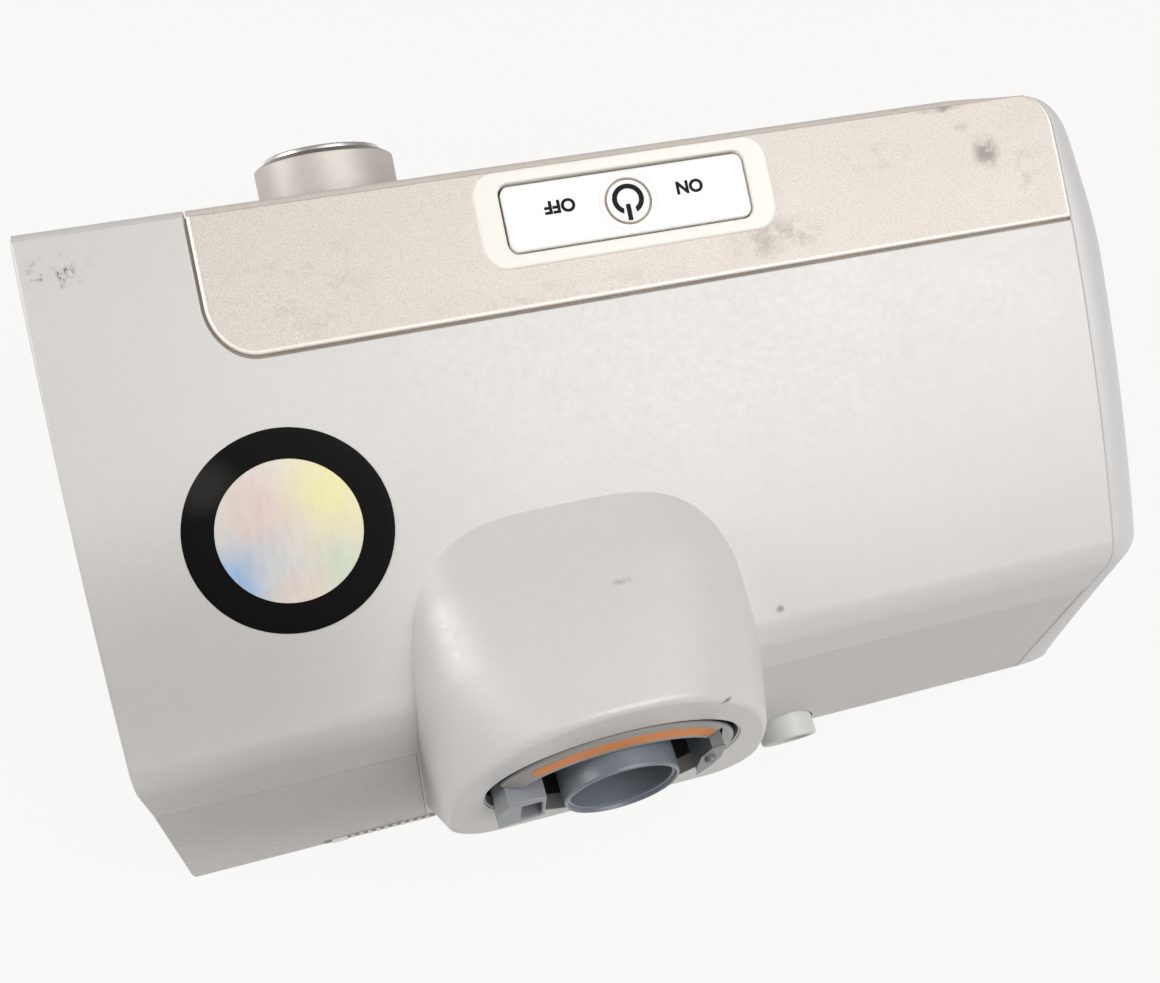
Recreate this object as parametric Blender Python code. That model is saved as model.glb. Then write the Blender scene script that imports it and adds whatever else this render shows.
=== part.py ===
"""Bedside air pump for sleep therapy, built as an assembly of separate pieces.

Metres, +Z up. X runs along the long side: -X is the bulged side panel, +X the open
end of the empty water tub bay. Y runs from the screen side, -Y, to the outlet side, +Y.
The origin is under the middle of the bounding box, on the surface that the feet stand on.
"""
import math

import bmesh
import bpy
from mathutils import Matrix, Vector

for item in list(bpy.data.objects):
    bpy.data.objects.remove(item, do_unlink=True)

# Overall size
overall_width = 0.205
overall_height = 0.116
front_reach = 0.054
top_run = 0.0763

# Clearances and cuts
fit_gap = 0.0003
overrun = 0.004

# Side profile of the shell
crown_grade_share = 0.549
crown_run = 0.4125
bend_radius = 0.009
heel_radius = 0.005
toe_radius = 0.006
lean_angle = math.radians(39)
brow_radius = 0.022
tuck_radius = 0.090
foot_clearance = 0.0025
seam_height = 0.046
fascia_low_height = 0.020

# Walls
case_wall = 0.0030
base_wall = 0.0026
fascia_wall = 0.0026
side_wall = 0.0026

# Bulged side panel
bulge_reach = 0.0094
bulge_rounding = 0.0080
wrap = 0.0060
wrap_rounding = 0.0110
wrap_power_share = 0.33
wrap_fade_run = 0.025
wrap_low_height = 0.025
side_low_share = 0.2
side_blend_height = 0.018

# Hood over the tub bay
hood_setback = 0.0015

# Top strip
strip_length = 0.1658
strip_run = 0.0216
strip_corner = 0.0100
strip_thickness = 0.0013

# Start button and its surround
button_x = -0.0043
button_run = 0.0077
button_width = 0.0463
button_height = 0.0112
button_corner = 0.0014
button_thickness = 0.0015
button_proud = 0.0004
button_travel = 0.0010
button_ring_radius = 0.0050
button_ring_wall = 0.0009
button_ring_rise = 0.0004
button_stem_radius = 0.0025
button_stem_length = 0.0042
surround_width = 0.0552
surround_height = 0.0138
surround_corner = 0.0032
surround_proud = 0.0003
button_board_width = 0.034
button_board_height = 0.022
button_board_shift = 0.0050
switch_size = 0.0060
switch_height = 0.0009
board_thickness = 0.0016
post_radius = 0.0022
root_share = 0.8
button_post_spread = 0.013

# Outlet hump
hump_x = 0.0184
hump_half_width = 0.0310
hump_flare = 0.0027
hump_rise = 0.0353
hump_climb = 0.0012
hump_middle_height = 0.0457
hump_low_height = 0.0335
hump_root_low = 0.0100
hump_corner = 0.0100
hump_root_corner = 0.0050
hump_mouth_power = 2.1
hump_root_power = 3.7
hump_square_run = 0.028
hump_mouth_run = 0.0911
hump_root_run = 0.047
hump_wall = 0.0024
hump_lip = 0.0012
apron_margin = 0.0005
lip_round_share = 0.3
sink_share = 0.6

# Outlet insert and tube
oval_height = 0.0546
oval_half_width = 0.0242
oval_half_height = 0.0168
oval_show_gap = 0.0006
flange_width = 0.0034
flange_rise = 0.0015
insert_depth = 0.0145
insert_floor = 0.0020
insert_draft = 0.0008
tube_lift = 0.0016
tube_radius = 0.0109
tube_wall = 0.0014
tube_proud = 0.0049
tube_collar = 0.0016
tube_spigot = 0.0022
connector_offset = 0.0180
connector_width = 0.0092
connector_height = 0.0110
connector_proud = 0.0039
connector_hole_width = 0.0062
connector_hole_height = 0.0070
connector_hole_depth = 0.0060
connector_bevel = 0.0014
latch_offset = 0.0163
latch_lift = 0.0023
latch_width = 0.0046
latch_height = 0.0110
latch_proud = 0.0035
latch_pin_radius = 0.0011
latch_pin_lift = 0.0012
latch_pin_rise = 0.0008
socket_seat_depth = 0.0115

# Tub bay
bay_wall = 0.0020
bay_start_x = 0.038
bay_front_depth = 0.0186
bay_knee_height = 0.055
bay_end_setback = 0.0020
port_radius = 0.0085
port_lip = 0.0018
port_lip_length = 0.0030
blower_port_y = 0.0393
blower_port_z = 0.0193
elbow_radius = 0.0098
elbow_wall = 0.0016
elbow_bend = 0.0150
heater_length = 0.066
heater_width = 0.050
heater_corner = 0.010
heater_thickness = 0.0024
heater_x = 0.068
heater_y = 0.0005
gasket_width = 0.0022

# Screen, dial and home button, measured down the leaning front
screen_x = -0.0260
screen_drop = 0.0350
screen_width = 0.0640
screen_height = 0.0440
screen_corner = 0.0030
lens_thickness = 0.0016
lcd_margin = 0.0035
panel_depth = 0.0075
panel_board_low_x = -0.066
panel_board_high_x = 0.0615
panel_board_top = 0.0110
panel_board_bottom = 0.0640
dial_x = 0.0473
dial_drop = 0.0244
dial_radius = 0.0128
dial_height = 0.0091
dial_lift = 0.0012
dial_rim_radius = 0.0106
dial_chamfer = 0.0012
dial_ring_wall = 0.0009
dial_ring_rise = 0.0006
dial_travel = 0.0008
dial_flutes = 28
dial_flute_depth = 0.00035
shaft_radius = 0.0030
shaft_engagement = 0.0050
plunger_wall = 0.0012
plunger_length = 0.0026
encoder_size = 0.0130
home_x = 0.0473
home_drop = 0.0500
home_radius = 0.0060
home_rise = 0.0008
home_length = 0.0044
home_switch_height = 0.0019

# Power inlet
inlet_x = -0.0317
inlet_height = 0.0079
inlet_tilt = math.radians(13)
inlet_radius = 0.0065
inlet_wall = 0.0016
inlet_proud = 0.0038
inlet_length = 0.0093
inlet_bore_depth = 0.0075
inlet_pin_radius = 0.0010

# Air filter and card slot behind doors on the side panel
side_cover_thickness = 0.0018
filter_y = 0.019
filter_z = 0.0385
filter_width = 0.042
filter_height = 0.030
filter_thickness = 0.0048
filter_back = 0.0018
filter_bars = 5
filter_bar_width = 0.0024
vent_count = 6
vent_length = 0.030
vent_width = 0.0014
card_y = -0.010
card_z = 0.066
card_width = 0.030
card_height = 0.009
card_socket_depth = 0.014
socket_margin = 0.0020
socket_slot = 0.0030
grip_corner_share = 0.9

# Blower
blower_x = -0.034
blower_y = 0.008
blower_low_z = 0.0093
blower_body_height = 0.0200
blower_small_radius = 0.0290
blower_large_radius = 0.0370
blower_wall = 0.0022
blower_spout = 0.0360
tongue_angle = math.radians(60)
throat_angle = math.radians(84)
blower_inlet_radius = 0.0140
blower_cover_thickness = 0.0024
impeller_radius = 0.0240
impeller_hub = 0.0080
impeller_eye = 0.0130
impeller_disc = 0.0016
impeller_height = 0.0110
impeller_blades = 11
impeller_blade_thickness = 0.0012
blade_sweep = math.radians(48)
blade_phase_share = 0.2
axle_radius = 0.0020
axle_engagement = 0.0060
motor_radius = 0.0190
motor_height = 0.0190
motor_cap_radius = 0.0120
motor_cap_height = 0.0020
mount_radius = 0.0050
mount_waist_share = 0.7
mount_circle = 0.0270
mount_count = 3
pipe_radius = 0.0072
pipe_wall = 0.0014
pipe_rib = 0.0010
pipe_ribs = 5
foam_low_x = -0.0870
foam_high_x = -0.0730
foam_low_y = -0.024
foam_high_y = 0.040
foam_height = 0.034
main_board_low_x = -0.084
main_board_high_x = 0.030
main_board_front = -0.054
main_board_back = -0.0270
main_board_lift = 0.0040
capacitor_count = 3
capacitor_radius = 0.0050
capacitor_height = 0.0120
chip_size = 0.0110
chip_height = 0.0016

# Feet and screws
foot_radius = 0.0060
foot_recess = 0.0008
foot_inset_x = 0.014
foot_inset_y = 0.016
screw_head_radius = 0.0030
screw_head_height = 0.0020
screw_shank_radius = 0.0014
screw_shank_length = 0.0060
screw_boss_radius = 0.0045
screw_boss_height = 0.0075
screw_inset_x = 0.030
screw_inset_y = 0.009
screw_back_y = 0.020

# Facet counts
round_segments = 24
small_segments = 12
pipe_segments = 20
oval_segments = 36
crown_steps = 12
hump_steps = 3
root_steps = 5
strip_steps = 4
button_steps = 3
elbow_steps = 8
blade_steps = 5
solver_rounds = 60
bend_steps = 5
corner_steps = 4
brow_steps = 5
tuck_steps = 3
dome_steps = 26
scroll_steps = 32

# Places worked out from the sizes above
overall_depth = front_reach + hump_mouth_run + tube_proud
tube_height = oval_height + tube_lift
front_edge_y = front_reach - overall_depth / 2
front_face_y = -overall_depth / 2
wall_y = front_edge_y + top_run
end_x = overall_width / 2
side_x = bulge_reach - overall_width / 2
hood_x = end_x - hood_setback
strip_end_x = side_x + strip_length
mouth_y = front_edge_y + hump_mouth_run
base_top = foot_clearance + base_wall
lean_sin = math.sin(lean_angle)
lean_cos = math.cos(lean_angle)
knee_run = front_reach - brow_radius * (1 - lean_cos)
knee_drop = knee_run * lean_cos / lean_sin
knee_height = overall_height - knee_drop
widest_height = knee_height - brow_radius * lean_sin


# Materials
def make_material(name, colour, roughness, metallic=0.0):
    material = bpy.data.materials.new(name)
    material.use_nodes = True
    shader = material.node_tree.nodes["Principled BSDF"]
    shader.inputs["Base Color"].default_value = (*colour, 1.0)
    shader.inputs["Roughness"].default_value = roughness
    shader.inputs["Metallic"].default_value = metallic
    return material


shell_grey = make_material("shell_grey", (0.70, 0.68, 0.66), 0.42, 0.15)
strip_champagne = make_material("strip_champagne", (0.78, 0.72, 0.66), 0.40, 0.30)
cream_white = make_material("cream_white", (0.90, 0.87, 0.80), 0.45)
button_white = make_material("button_white", (0.93, 0.93, 0.91), 0.40)
insert_grey = make_material("insert_grey", (0.30, 0.30, 0.31), 0.50)
tube_slate = make_material("tube_slate", (0.18, 0.20, 0.22), 0.45)
collar_grey = make_material("collar_grey", (0.62, 0.63, 0.60), 0.50)
base_grey = make_material("base_grey", (0.60, 0.59, 0.58), 0.50)
fascia_dark = make_material("fascia_dark", (0.10, 0.10, 0.11), 0.35)
lens_black = make_material("lens_black", (0.01, 0.01, 0.012), 0.08)
silver = make_material("silver", (0.66, 0.65, 0.63), 0.30, 1.0)
steel = make_material("steel", (0.55, 0.55, 0.55), 0.35, 1.0)
brass = make_material("brass", (0.70, 0.55, 0.25), 0.35, 1.0)
rubber_black = make_material("rubber_black", (0.03, 0.03, 0.03), 0.80)
silicone = make_material("silicone", (0.45, 0.47, 0.48), 0.60)
board_green = make_material("board_green", (0.02, 0.16, 0.07), 0.50)
board_black = make_material("board_black", (0.03, 0.03, 0.03), 0.50)
foam_grey = make_material("foam_grey", (0.20, 0.20, 0.21), 0.95)
filter_white = make_material("filter_white", (0.85, 0.86, 0.87), 0.90)
liner_grey = make_material("liner_grey", (0.40, 0.41, 0.42), 0.50)
heater_metal = make_material("heater_metal", (0.62, 0.62, 0.63), 0.30, 1.0)


# Mesh helpers
def add_object(name, bm):
    bmesh.ops.recalc_face_normals(bm, faces=bm.faces)
    mesh = bpy.data.meshes.new(name)
    bm.to_mesh(mesh)
    bm.free()
    obj = bpy.data.objects.new(name, mesh)
    bpy.context.scene.collection.objects.link(obj)
    return obj


def extrude(name, outline, low, high, place, cuts=()):
    """A solid between low and high over an outline of (a, b) points, set by place."""
    bm = bmesh.new()
    bm.faces.new([bm.verts.new((a, b, 0)) for a, b in outline])
    for value in cuts:
        everything = bm.verts[:] + bm.edges[:] + bm.faces[:]
        bmesh.ops.bisect_plane(bm, geom=everything, plane_co=(0, value, 0), plane_no=(0, 1, 0))
    bottom = bm.verts[:]
    raised = bmesh.ops.extrude_face_region(bm, geom=bm.faces[:], use_keep_orig=True)
    top = [item for item in raised["geom"] if isinstance(item, bmesh.types.BMVert)]
    for vert in bottom:
        vert.co = place(vert.co.x, vert.co.y, low)
    for vert in top:
        vert.co = place(vert.co.x, vert.co.y, high)
    bm.normal_update()
    bmesh.ops.triangulate(bm, faces=[face for face in bm.faces if len(face.verts) > 4])
    return add_object(name, bm)


def loft(name, rings, ring_closed=False):
    """A skin over rings of equal count: capped at both ends, or joined end to end."""
    bm = bmesh.new()
    rows = [[bm.verts.new(point) for point in ring] for ring in rings]
    pairs = list(zip(rows, rows[1:]))
    if ring_closed:
        pairs.append((rows[-1], rows[0]))
    for row, following in pairs:
        for index in range(len(row)):
            after = (index + 1) % len(row)
            bm.faces.new((row[index], row[after], following[after], following[index]))
    if not ring_closed:
        bm.faces.new(rows[0])
        bm.faces.new(rows[-1])
    bm.normal_update()
    bmesh.ops.triangulate(bm, faces=[face for face in bm.faces if len(face.verts) > 4])
    return add_object(name, bm)


def revolve(name, profile, frame, segments, ring_closed=False):
    """A turned solid: profile of (radius, height) points about the frame's Z axis."""
    bm = bmesh.new()
    rows = []
    for radius, height in profile:
        if radius == 0:
            rows.append([bm.verts.new(frame @ Vector((0, 0, height)))])
            continue
        row = []
        for index in range(segments):
            angle = 2 * math.pi * index / segments
            local = Vector((radius * math.cos(angle), radius * math.sin(angle), height))
            row.append(bm.verts.new(frame @ local))
        rows.append(row)
    pairs = list(zip(rows, rows[1:]))
    if ring_closed:
        pairs.append((rows[-1], rows[0]))
    for row, following in pairs:
        for index in range(segments):
            after = (index + 1) % segments
            if len(row) == 1:
                bm.faces.new((row[0], following[after], following[index]))
            elif len(following) == 1:
                bm.faces.new((row[index], row[after], following[0]))
            else:
                bm.faces.new((row[index], row[after], following[after], following[index]))
    if not ring_closed and profile[0][0] > 0:
        bm.faces.new(rows[0])
    if not ring_closed and profile[-1][0] > 0:
        bm.faces.new(rows[-1])
    return add_object(name, bm)


def rod(name, radius, low, high, frame, segments=small_segments):
    return revolve(name, [(0, low), (radius, low), (radius, high), (0, high)], frame, segments)


def block(name, low, high):
    bm = bmesh.new()
    bmesh.ops.create_cube(bm, size=1)
    size = Vector(high) - Vector(low)
    middle = (Vector(high) + Vector(low)) / 2
    for vert in bm.verts:
        vert.co = Vector(vert.co[axis] * size[axis] + middle[axis] for axis in range(3))
    return add_object(name, bm)


def combine(target, other, operation):
    """Apply an exact boolean of other on target, and delete other."""
    modifier = target.modifiers.new(operation.lower(), "BOOLEAN")
    modifier.operation = operation
    modifier.solver = "EXACT"
    modifier.object = other
    graph = bpy.context.evaluated_depsgraph_get()
    result = bpy.data.meshes.new_from_object(target.evaluated_get(graph))
    target.modifiers.clear()
    old = target.data
    target.data = result
    bpy.data.meshes.remove(old)
    bpy.data.objects.remove(other, do_unlink=True)
    return target


def cut(target, *cutters):
    for cutter in cutters:
        cutter.hide_render = True
        cutter.display_type = "WIRE"
        combine(target, cutter, "DIFFERENCE")
    return target


def fuse(target, *others):
    for other in others:
        combine(target, other, "UNION")
    return target


def finish(obj, material, pivot=None, sharp=math.radians(32)):
    """Give a piece its material, its shading and its origin."""
    obj.data.materials.clear()
    obj.data.materials.append(material)
    if pivot is not None:
        obj.data.transform(Matrix.Translation(-Vector(pivot)))
        obj.location = pivot
    obj.data.shade_smooth()
    obj.data.set_sharp_from_angle(angle=sharp)
    return obj


# Outlines
def rounded_box(middle, size, radius, steps=corner_steps):
    """Outline of a rectangle with round corners, anticlockwise."""
    points = []
    for turn, (side, end) in enumerate(((1, 1), (-1, 1), (-1, -1), (1, -1))):
        centre = (middle[0] + side * (size[0] / 2 - radius), middle[1] + end * (size[1] / 2 - radius))
        for step in range(steps + 1):
            angle = (turn + step / steps) * math.pi / 2
            points.append((centre[0] + radius * math.cos(angle), centre[1] + radius * math.sin(angle)))
    return points


def box_outline(low, high):
    return [(low[0], low[1]), (high[0], low[1]), (high[0], high[1]), (low[0], high[1])]


def ellipse_outline(middle, half_width, half_height):
    points = []
    for step in range(oval_segments):
        angle = 2 * math.pi * step / oval_segments
        points.append((middle[0] + half_width * math.cos(angle), middle[1] + half_height * math.sin(angle)))
    return points


def offset_line(points, distance, closed=False):
    """Move an outline to the right of its travel by a distance, with mitred corners."""
    moved = []
    count = len(points)
    for index, point in enumerate(points):
        before = points[index - 1] if index or closed else None
        after = points[(index + 1) % count] if index < count - 1 or closed else None
        normals = []
        for first, second in ((before, point), (point, after)):
            if first is None or second is None:
                continue
            run = math.hypot(second[0] - first[0], second[1] - first[1])
            normals.append(((second[1] - first[1]) / run, (first[0] - second[0]) / run))
        across = (sum(n[0] for n in normals) / len(normals), sum(n[1] for n in normals) / len(normals))
        square = across[0] ** 2 + across[1] ** 2
        moved.append((point[0] + across[0] / square * distance, point[1] + across[1] / square * distance))
    return moved


def spread(low, high, steps):
    return [low + (high - low) * index / steps for index in range(steps + 1)]


# Planes that outlines are set on
def on_x(a, b, depth):
    return Vector((depth, a, b))


def on_y(a, b, depth):
    return Vector((a, depth, b))


def on_z(a, b, depth):
    return Vector((a, b, depth))


def on_side(a, b, depth):
    """Depth grows outward from the flat of the side panel."""
    return Vector((-end_x - depth, a, b))


def crown_point(run):
    return front_edge_y + run, overall_height - crown_grade_share * run - run * run / crown_run


def crown_normal(run):
    slope = crown_grade_share + 2 * run / crown_run
    length = math.hypot(slope, 1)
    return slope / length, 1 / length


def on_crown(a, b, depth):
    """Depth grows outward from the curved top; b is the run behind the front edge."""
    y, z = crown_point(b)
    normal_y, normal_z = crown_normal(b)
    return Vector((a, y + normal_y * depth, z + normal_z * depth))


def on_front(a, b, depth):
    """Depth grows outward from the leaning front; b is the drop along it."""
    y = front_edge_y - b * lean_sin - depth * lean_cos
    z = overall_height - b * lean_cos + depth * lean_sin
    return Vector((a, y, z))


def frame_on(point, direction):
    """A matrix whose Z axis is the direction and whose origin is the point."""
    turn = Vector(direction).to_track_quat("Z", "Y").to_matrix().to_4x4()
    return Matrix.Translation(point) @ turn


# Side profile of the shell
def find_bend():
    """Run at which the crown meets the bend, and the middle of the bend."""
    low, high = 0, top_run
    for _ in range(solver_rounds):
        run = (low + high) / 2
        if crown_point(run)[0] - crown_normal(run)[0] * bend_radius < wall_y - bend_radius:
            low = run
        else:
            high = run
    y, z = crown_point(run)
    normal_y, normal_z = crown_normal(run)
    return run, y - normal_y * bend_radius, z - normal_z * bend_radius


bend_start, bend_y, bend_z = find_bend()
bend_top = crown_point(bend_start)[1]


def crown_line(low, high, steps=crown_steps):
    return [crown_point(run) for run in spread(low, high, steps)]


def bend_line():
    normal_y, normal_z = crown_normal(bend_start)
    points = []
    for angle in spread(math.atan2(normal_z, normal_y), 0, bend_steps)[1:]:
        points.append((bend_y + bend_radius * math.cos(angle), bend_z + bend_radius * math.sin(angle)))
    return points


def surface_y(z):
    """How far back the shell reaches at a height."""
    if z <= bend_z:
        return wall_y
    if z <= bend_top:
        return bend_y + math.sqrt(max(bend_radius ** 2 - (z - bend_z) ** 2, 0))
    drop = overall_height - z
    grade = crown_grade_share
    return front_edge_y + crown_run / 2 * (math.sqrt(grade * grade + 4 * drop / crown_run) - grade)


def surface_normal(z):
    if z <= bend_z:
        return Vector((0, 1, 0))
    if z <= bend_top:
        rise = (z - bend_z) / bend_radius
        return Vector((0, math.sqrt(max(1 - rise * rise, 0)), rise))
    normal_y, normal_z = crown_normal(surface_y(z) - front_edge_y)
    return Vector((0, normal_y, normal_z))


def front_y(z):
    """How far forward the shell reaches at a height."""
    if z >= knee_height:
        return front_edge_y - (overall_height - z) * lean_sin / lean_cos
    if z >= widest_height:
        return front_face_y + brow_radius - math.sqrt(brow_radius ** 2 - (z - widest_height) ** 2)
    return front_face_y + tuck_radius - math.sqrt(tuck_radius ** 2 - (widest_height - z) ** 2)


def front_line(low, high):
    """Front outline from a low height up to a high one."""
    heights = [low]
    heights += [z for z in spread(low, widest_height, tuck_steps)[1:] if low < z < high]
    heights += [z for z in spread(widest_height, knee_height, brow_steps)[1:] if low < z < high]
    heights.append(high)
    return [(front_y(z), z) for z in heights]


def heel_line():
    centre = (wall_y - heel_radius, foot_clearance + heel_radius)
    points = []
    for angle in spread(0, -math.pi / 2, corner_steps):
        points.append((centre[0] + heel_radius * math.cos(angle), centre[1] + heel_radius * math.sin(angle)))
    return points


def toe_line():
    """The rounded toe under the front, and the height at which the front starts."""
    start = foot_clearance
    for _ in range(corner_steps):
        slope = (widest_height - start) / tuck_radius
        start = foot_clearance + toe_radius * (1 - slope)
    turn = math.asin(slope)
    centre = (front_y(start) + toe_radius * math.cos(turn), foot_clearance + toe_radius)
    points = []
    for angle in spread(-math.pi / 2, turn - math.pi, corner_steps):
        points.append((centre[0] + toe_radius * math.cos(angle), centre[1] + toe_radius * math.sin(angle)))
    return points, start


toe_points, toe_height = toe_line()


def smooth(share):
    share = min(max(share, 0), 1)
    return share * share * (3 - 2 * share)


wrap_turns = spread(0, math.pi / 2, corner_steps)
crown_runs = [wrap * (1 - math.cos(turn)) for turn in wrap_turns] + spread(wrap, bend_start, crown_steps)[1:]


def side_outline(inset):
    """Outline of the shell seen from the side, cut short at its top corner by an inset."""
    corner = (math.pi / 2 + lean_angle - math.atan(crown_grade_share)) / 2
    trim = inset / math.tan(corner)
    start = trim / math.hypot(crown_grade_share, 1)
    points = [crown_point(start + run * (1 - start / bend_start)) for run in crown_runs]
    points += bend_line() + heel_line() + toe_points
    return points + front_line(toe_height, overall_height - trim * lean_cos)[1:]


def wrap_share(z):
    """How far the side panel wraps round the front at a height."""
    return smooth((z - wrap_low_height) / (overall_height - wrap_low_height))


def side_edge():
    """For each point of the side outline, where the panel starts and its share of the front's rounding."""
    edge = []
    for index, run in enumerate(crown_runs):
        turn = wrap_turns[min(index, corner_steps)]
        edge.append((side_x + wrap * (1 - math.sin(turn)), 1 - smooth(run / wrap_fade_run)))
    edge += [(side_x, 0)] * len(bend_line() + heel_line() + toe_points)
    for y, z in front_line(toe_height, overall_height)[1:-1]:
        edge.append((side_x + wrap * wrap_share(z), wrap_share(z)))
    return edge


def wrap_outline(shift):
    """Arc of the panel's edge over the top, moved sideways by a gap."""
    middle = side_x + wrap + shift
    return [(middle - wrap * math.sin(turn), wrap * (1 - math.cos(turn))) for turn in wrap_turns]


def wrap_cutter():
    """What the top pieces lose to the wrapped corner of the side panel."""
    outline = [(side_x - overrun, wrap), (side_x - overrun, -overrun)]
    outline.append((side_x + wrap + fit_gap, -overrun))
    return extrude("wrap", outline + wrap_outline(fit_gap), -case_wall - overrun, overrun, on_crown)


# Outlet hump
def hump_section(inset, y):
    """Outline of the hump at one distance back: wider, squarer and deeper toward the wall."""
    wall_share = min((mouth_y - y) / (mouth_y - wall_y), 1)
    square_share = min((mouth_y - y) / hump_square_run, 1)
    half = hump_half_width + hump_flare * wall_share - inset
    rise = hump_rise + hump_climb * square_share - inset
    power = 2 / (hump_mouth_power + (hump_root_power - hump_mouth_power) * square_share)
    corner = hump_corner + (hump_root_corner - hump_corner) * wall_share - inset
    fall = hump_low_height - hump_root_low
    slant = math.hypot(fall, mouth_y - wall_y) / (mouth_y - wall_y)
    low = hump_low_height - fall * wall_share + inset * slant
    right = [((half - corner) / 2, low)]
    for angle in spread(-math.pi / 2, 0, corner_steps):
        right.append((half - corner + corner * math.cos(angle), low + corner + corner * math.sin(angle)))
    for angle in spread(0, math.pi / 2, dome_steps // 2)[1:-1]:
        right.append((half * math.cos(angle) ** power, hump_middle_height + rise * math.sin(angle) ** power))
    left = [(-x, z) for x, z in reversed(right)]
    outline = [(0, low)] + right + [(0, hump_middle_height + rise)] + left
    return [Vector((hump_x + x, y, z)) for x, z in outline]


def hump_stations(start):
    """Distances back at which the hump has a section, from its mouth to its root."""
    root = front_edge_y + hump_root_run
    return spread(start, wall_y, hump_steps) + spread(wall_y, root, root_steps)[1:]


def hump_body():
    rings = [hump_section(hump_lip, mouth_y)]
    rings.append(hump_section(hump_lip * lip_round_share, mouth_y - hump_lip * lip_round_share))
    body = loft("hump", rings + [hump_section(0, y) for y in hump_stations(mouth_y - hump_lip)])
    inner = crown_line(0, bend_start) + bend_line() + [(wall_y, foot_clearance)]
    inner = offset_line(inner, case_wall * sink_share)
    inner.append((front_edge_y, foot_clearance))
    reach = hump_half_width + hump_flare + overrun
    return cut(body, extrude("inside", inner, hump_x - reach, hump_x + reach, on_x))


apron_half = hump_half_width + hump_flare + apron_margin
apron_low = hump_root_low - apron_margin


# Upper case with hood, back wall and hump
def build_upper_case():
    outer = crown_line(0, bend_start) + bend_line() + [(wall_y, apron_low)]
    inner = offset_line(outer, case_wall)
    case = extrude("upper_case", outer + inner[::-1], side_x + fit_gap, hood_x, on_x)
    low = seam_height + fit_gap / 2
    front = wall_y - case_wall - overrun
    back = wall_y + overrun
    for start, end in ((side_x - overrun, hump_x - apron_half), (hump_x + apron_half, end_x + overrun)):
        cut(case, block("below_seam", (start, front, foot_clearance), (end, back, low)))
    fuse(case, hump_body())
    rings = [hump_section(hump_wall, y) for y in hump_stations(mouth_y - hump_wall)]
    cut(case, loft("hump_inside", rings + [hump_section(hump_wall, front_edge_y + strip_run)]))
    oval = ellipse_outline((hump_x, oval_height), oval_half_width, oval_half_height)
    cut(case, extrude("oval", oval, mouth_y - hump_wall - overrun, mouth_y + overrun, on_y))
    cut(case, strip_patch("strip_recess", fit_gap, -strip_thickness - fit_gap, overrun, overrun))
    cut(case, wrap_cutter())
    window = (button_width + 2 * fit_gap, button_height + 2 * fit_gap)
    outline = rounded_box((button_x, button_run), window, button_corner + fit_gap)
    cut(case, extrude("window", outline, -case_wall - overrun, overrun, on_crown))
    for side in (-1, 1):
        place = on_crown_plane(button_x + side * button_post_spread, button_post_run, 0)
        frame = frame_on(place, -button_axis())
        fuse(case, rod("post", post_radius, case_wall * root_share, button_board_depth - fit_gap, frame))
    return finish(case, shell_grey)


button_board_depth = case_wall + button_stem_length + switch_height
button_post_run = button_run + button_board_shift + button_board_height / 2 - 2 * post_radius


def strip_patch(name, grow, low, high, spill=0):
    """Slab over the strip's outline; spill carries a cut past the free edges."""
    left = side_x + fit_gap - spill
    right = strip_end_x + grow
    back = strip_run + grow
    radius = strip_corner + grow
    outline = [(left, -spill), (right, -spill)]
    for angle in spread(0, math.pi / 2, 2 * corner_steps):
        outline.append((right - radius + radius * math.cos(angle), back - radius + radius * math.sin(angle)))
    outline.append((left, back))
    return extrude(name, outline, low, high, on_crown, spread(0, strip_run, strip_steps)[1:-1])


def build_top_strip():
    strip = strip_patch("top_strip", 0, -strip_thickness, 0)
    hole = (surround_width + 2 * fit_gap, surround_height + 2 * fit_gap)
    outline = rounded_box((button_x, button_run), hole, surround_corner + fit_gap)
    cut(strip, extrude("surround_hole", outline, -strip_thickness - overrun, overrun, on_crown))
    cut(strip, wrap_cutter())
    return finish(strip, strip_champagne)


def build_button_surround():
    outline = rounded_box((button_x, button_run), (surround_width, surround_height), surround_corner)
    cuts = spread(button_run - surround_height / 2, button_run + surround_height / 2, button_steps)[1:-1]
    frame = extrude("button_surround", outline, -strip_thickness, surround_proud, on_crown, cuts)
    hole = (button_width + 2 * fit_gap, button_height + 2 * fit_gap)
    opening = rounded_box((button_x, button_run), hole, button_corner + fit_gap)
    cut(frame, extrude("plate_hole", opening, -strip_thickness - overrun, overrun, on_crown))
    return finish(frame, cream_white)


def button_axis():
    return (on_crown(button_x, button_run, 1) - on_crown(button_x, button_run, 0)).normalized()


def build_start_button():
    outline = rounded_box((button_x, button_run), (button_width, button_height), button_corner)
    cuts = spread(button_run - button_height / 2, button_run + button_height / 2, button_steps)[1:-1]
    plate = extrude("start_button", outline, button_proud - button_thickness, button_proud, on_crown, cuts)
    pivot = on_crown(button_x, button_run, 0)
    frame = frame_on(pivot, button_axis())
    ring = [(button_ring_radius, 0), (button_ring_radius, button_proud + button_ring_rise)]
    ring += [(button_ring_radius - button_ring_wall, button_proud + button_ring_rise)]
    ring += [(button_ring_radius - button_ring_wall, 0)]
    fuse(plate, revolve("ring", ring, frame, round_segments, ring_closed=True))
    stem = rod("stem", button_stem_radius, -button_stem_length - case_wall + button_travel + fit_gap,
               -button_thickness / 2, frame)
    fuse(plate, stem)
    return finish(plate, button_white, pivot)


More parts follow.
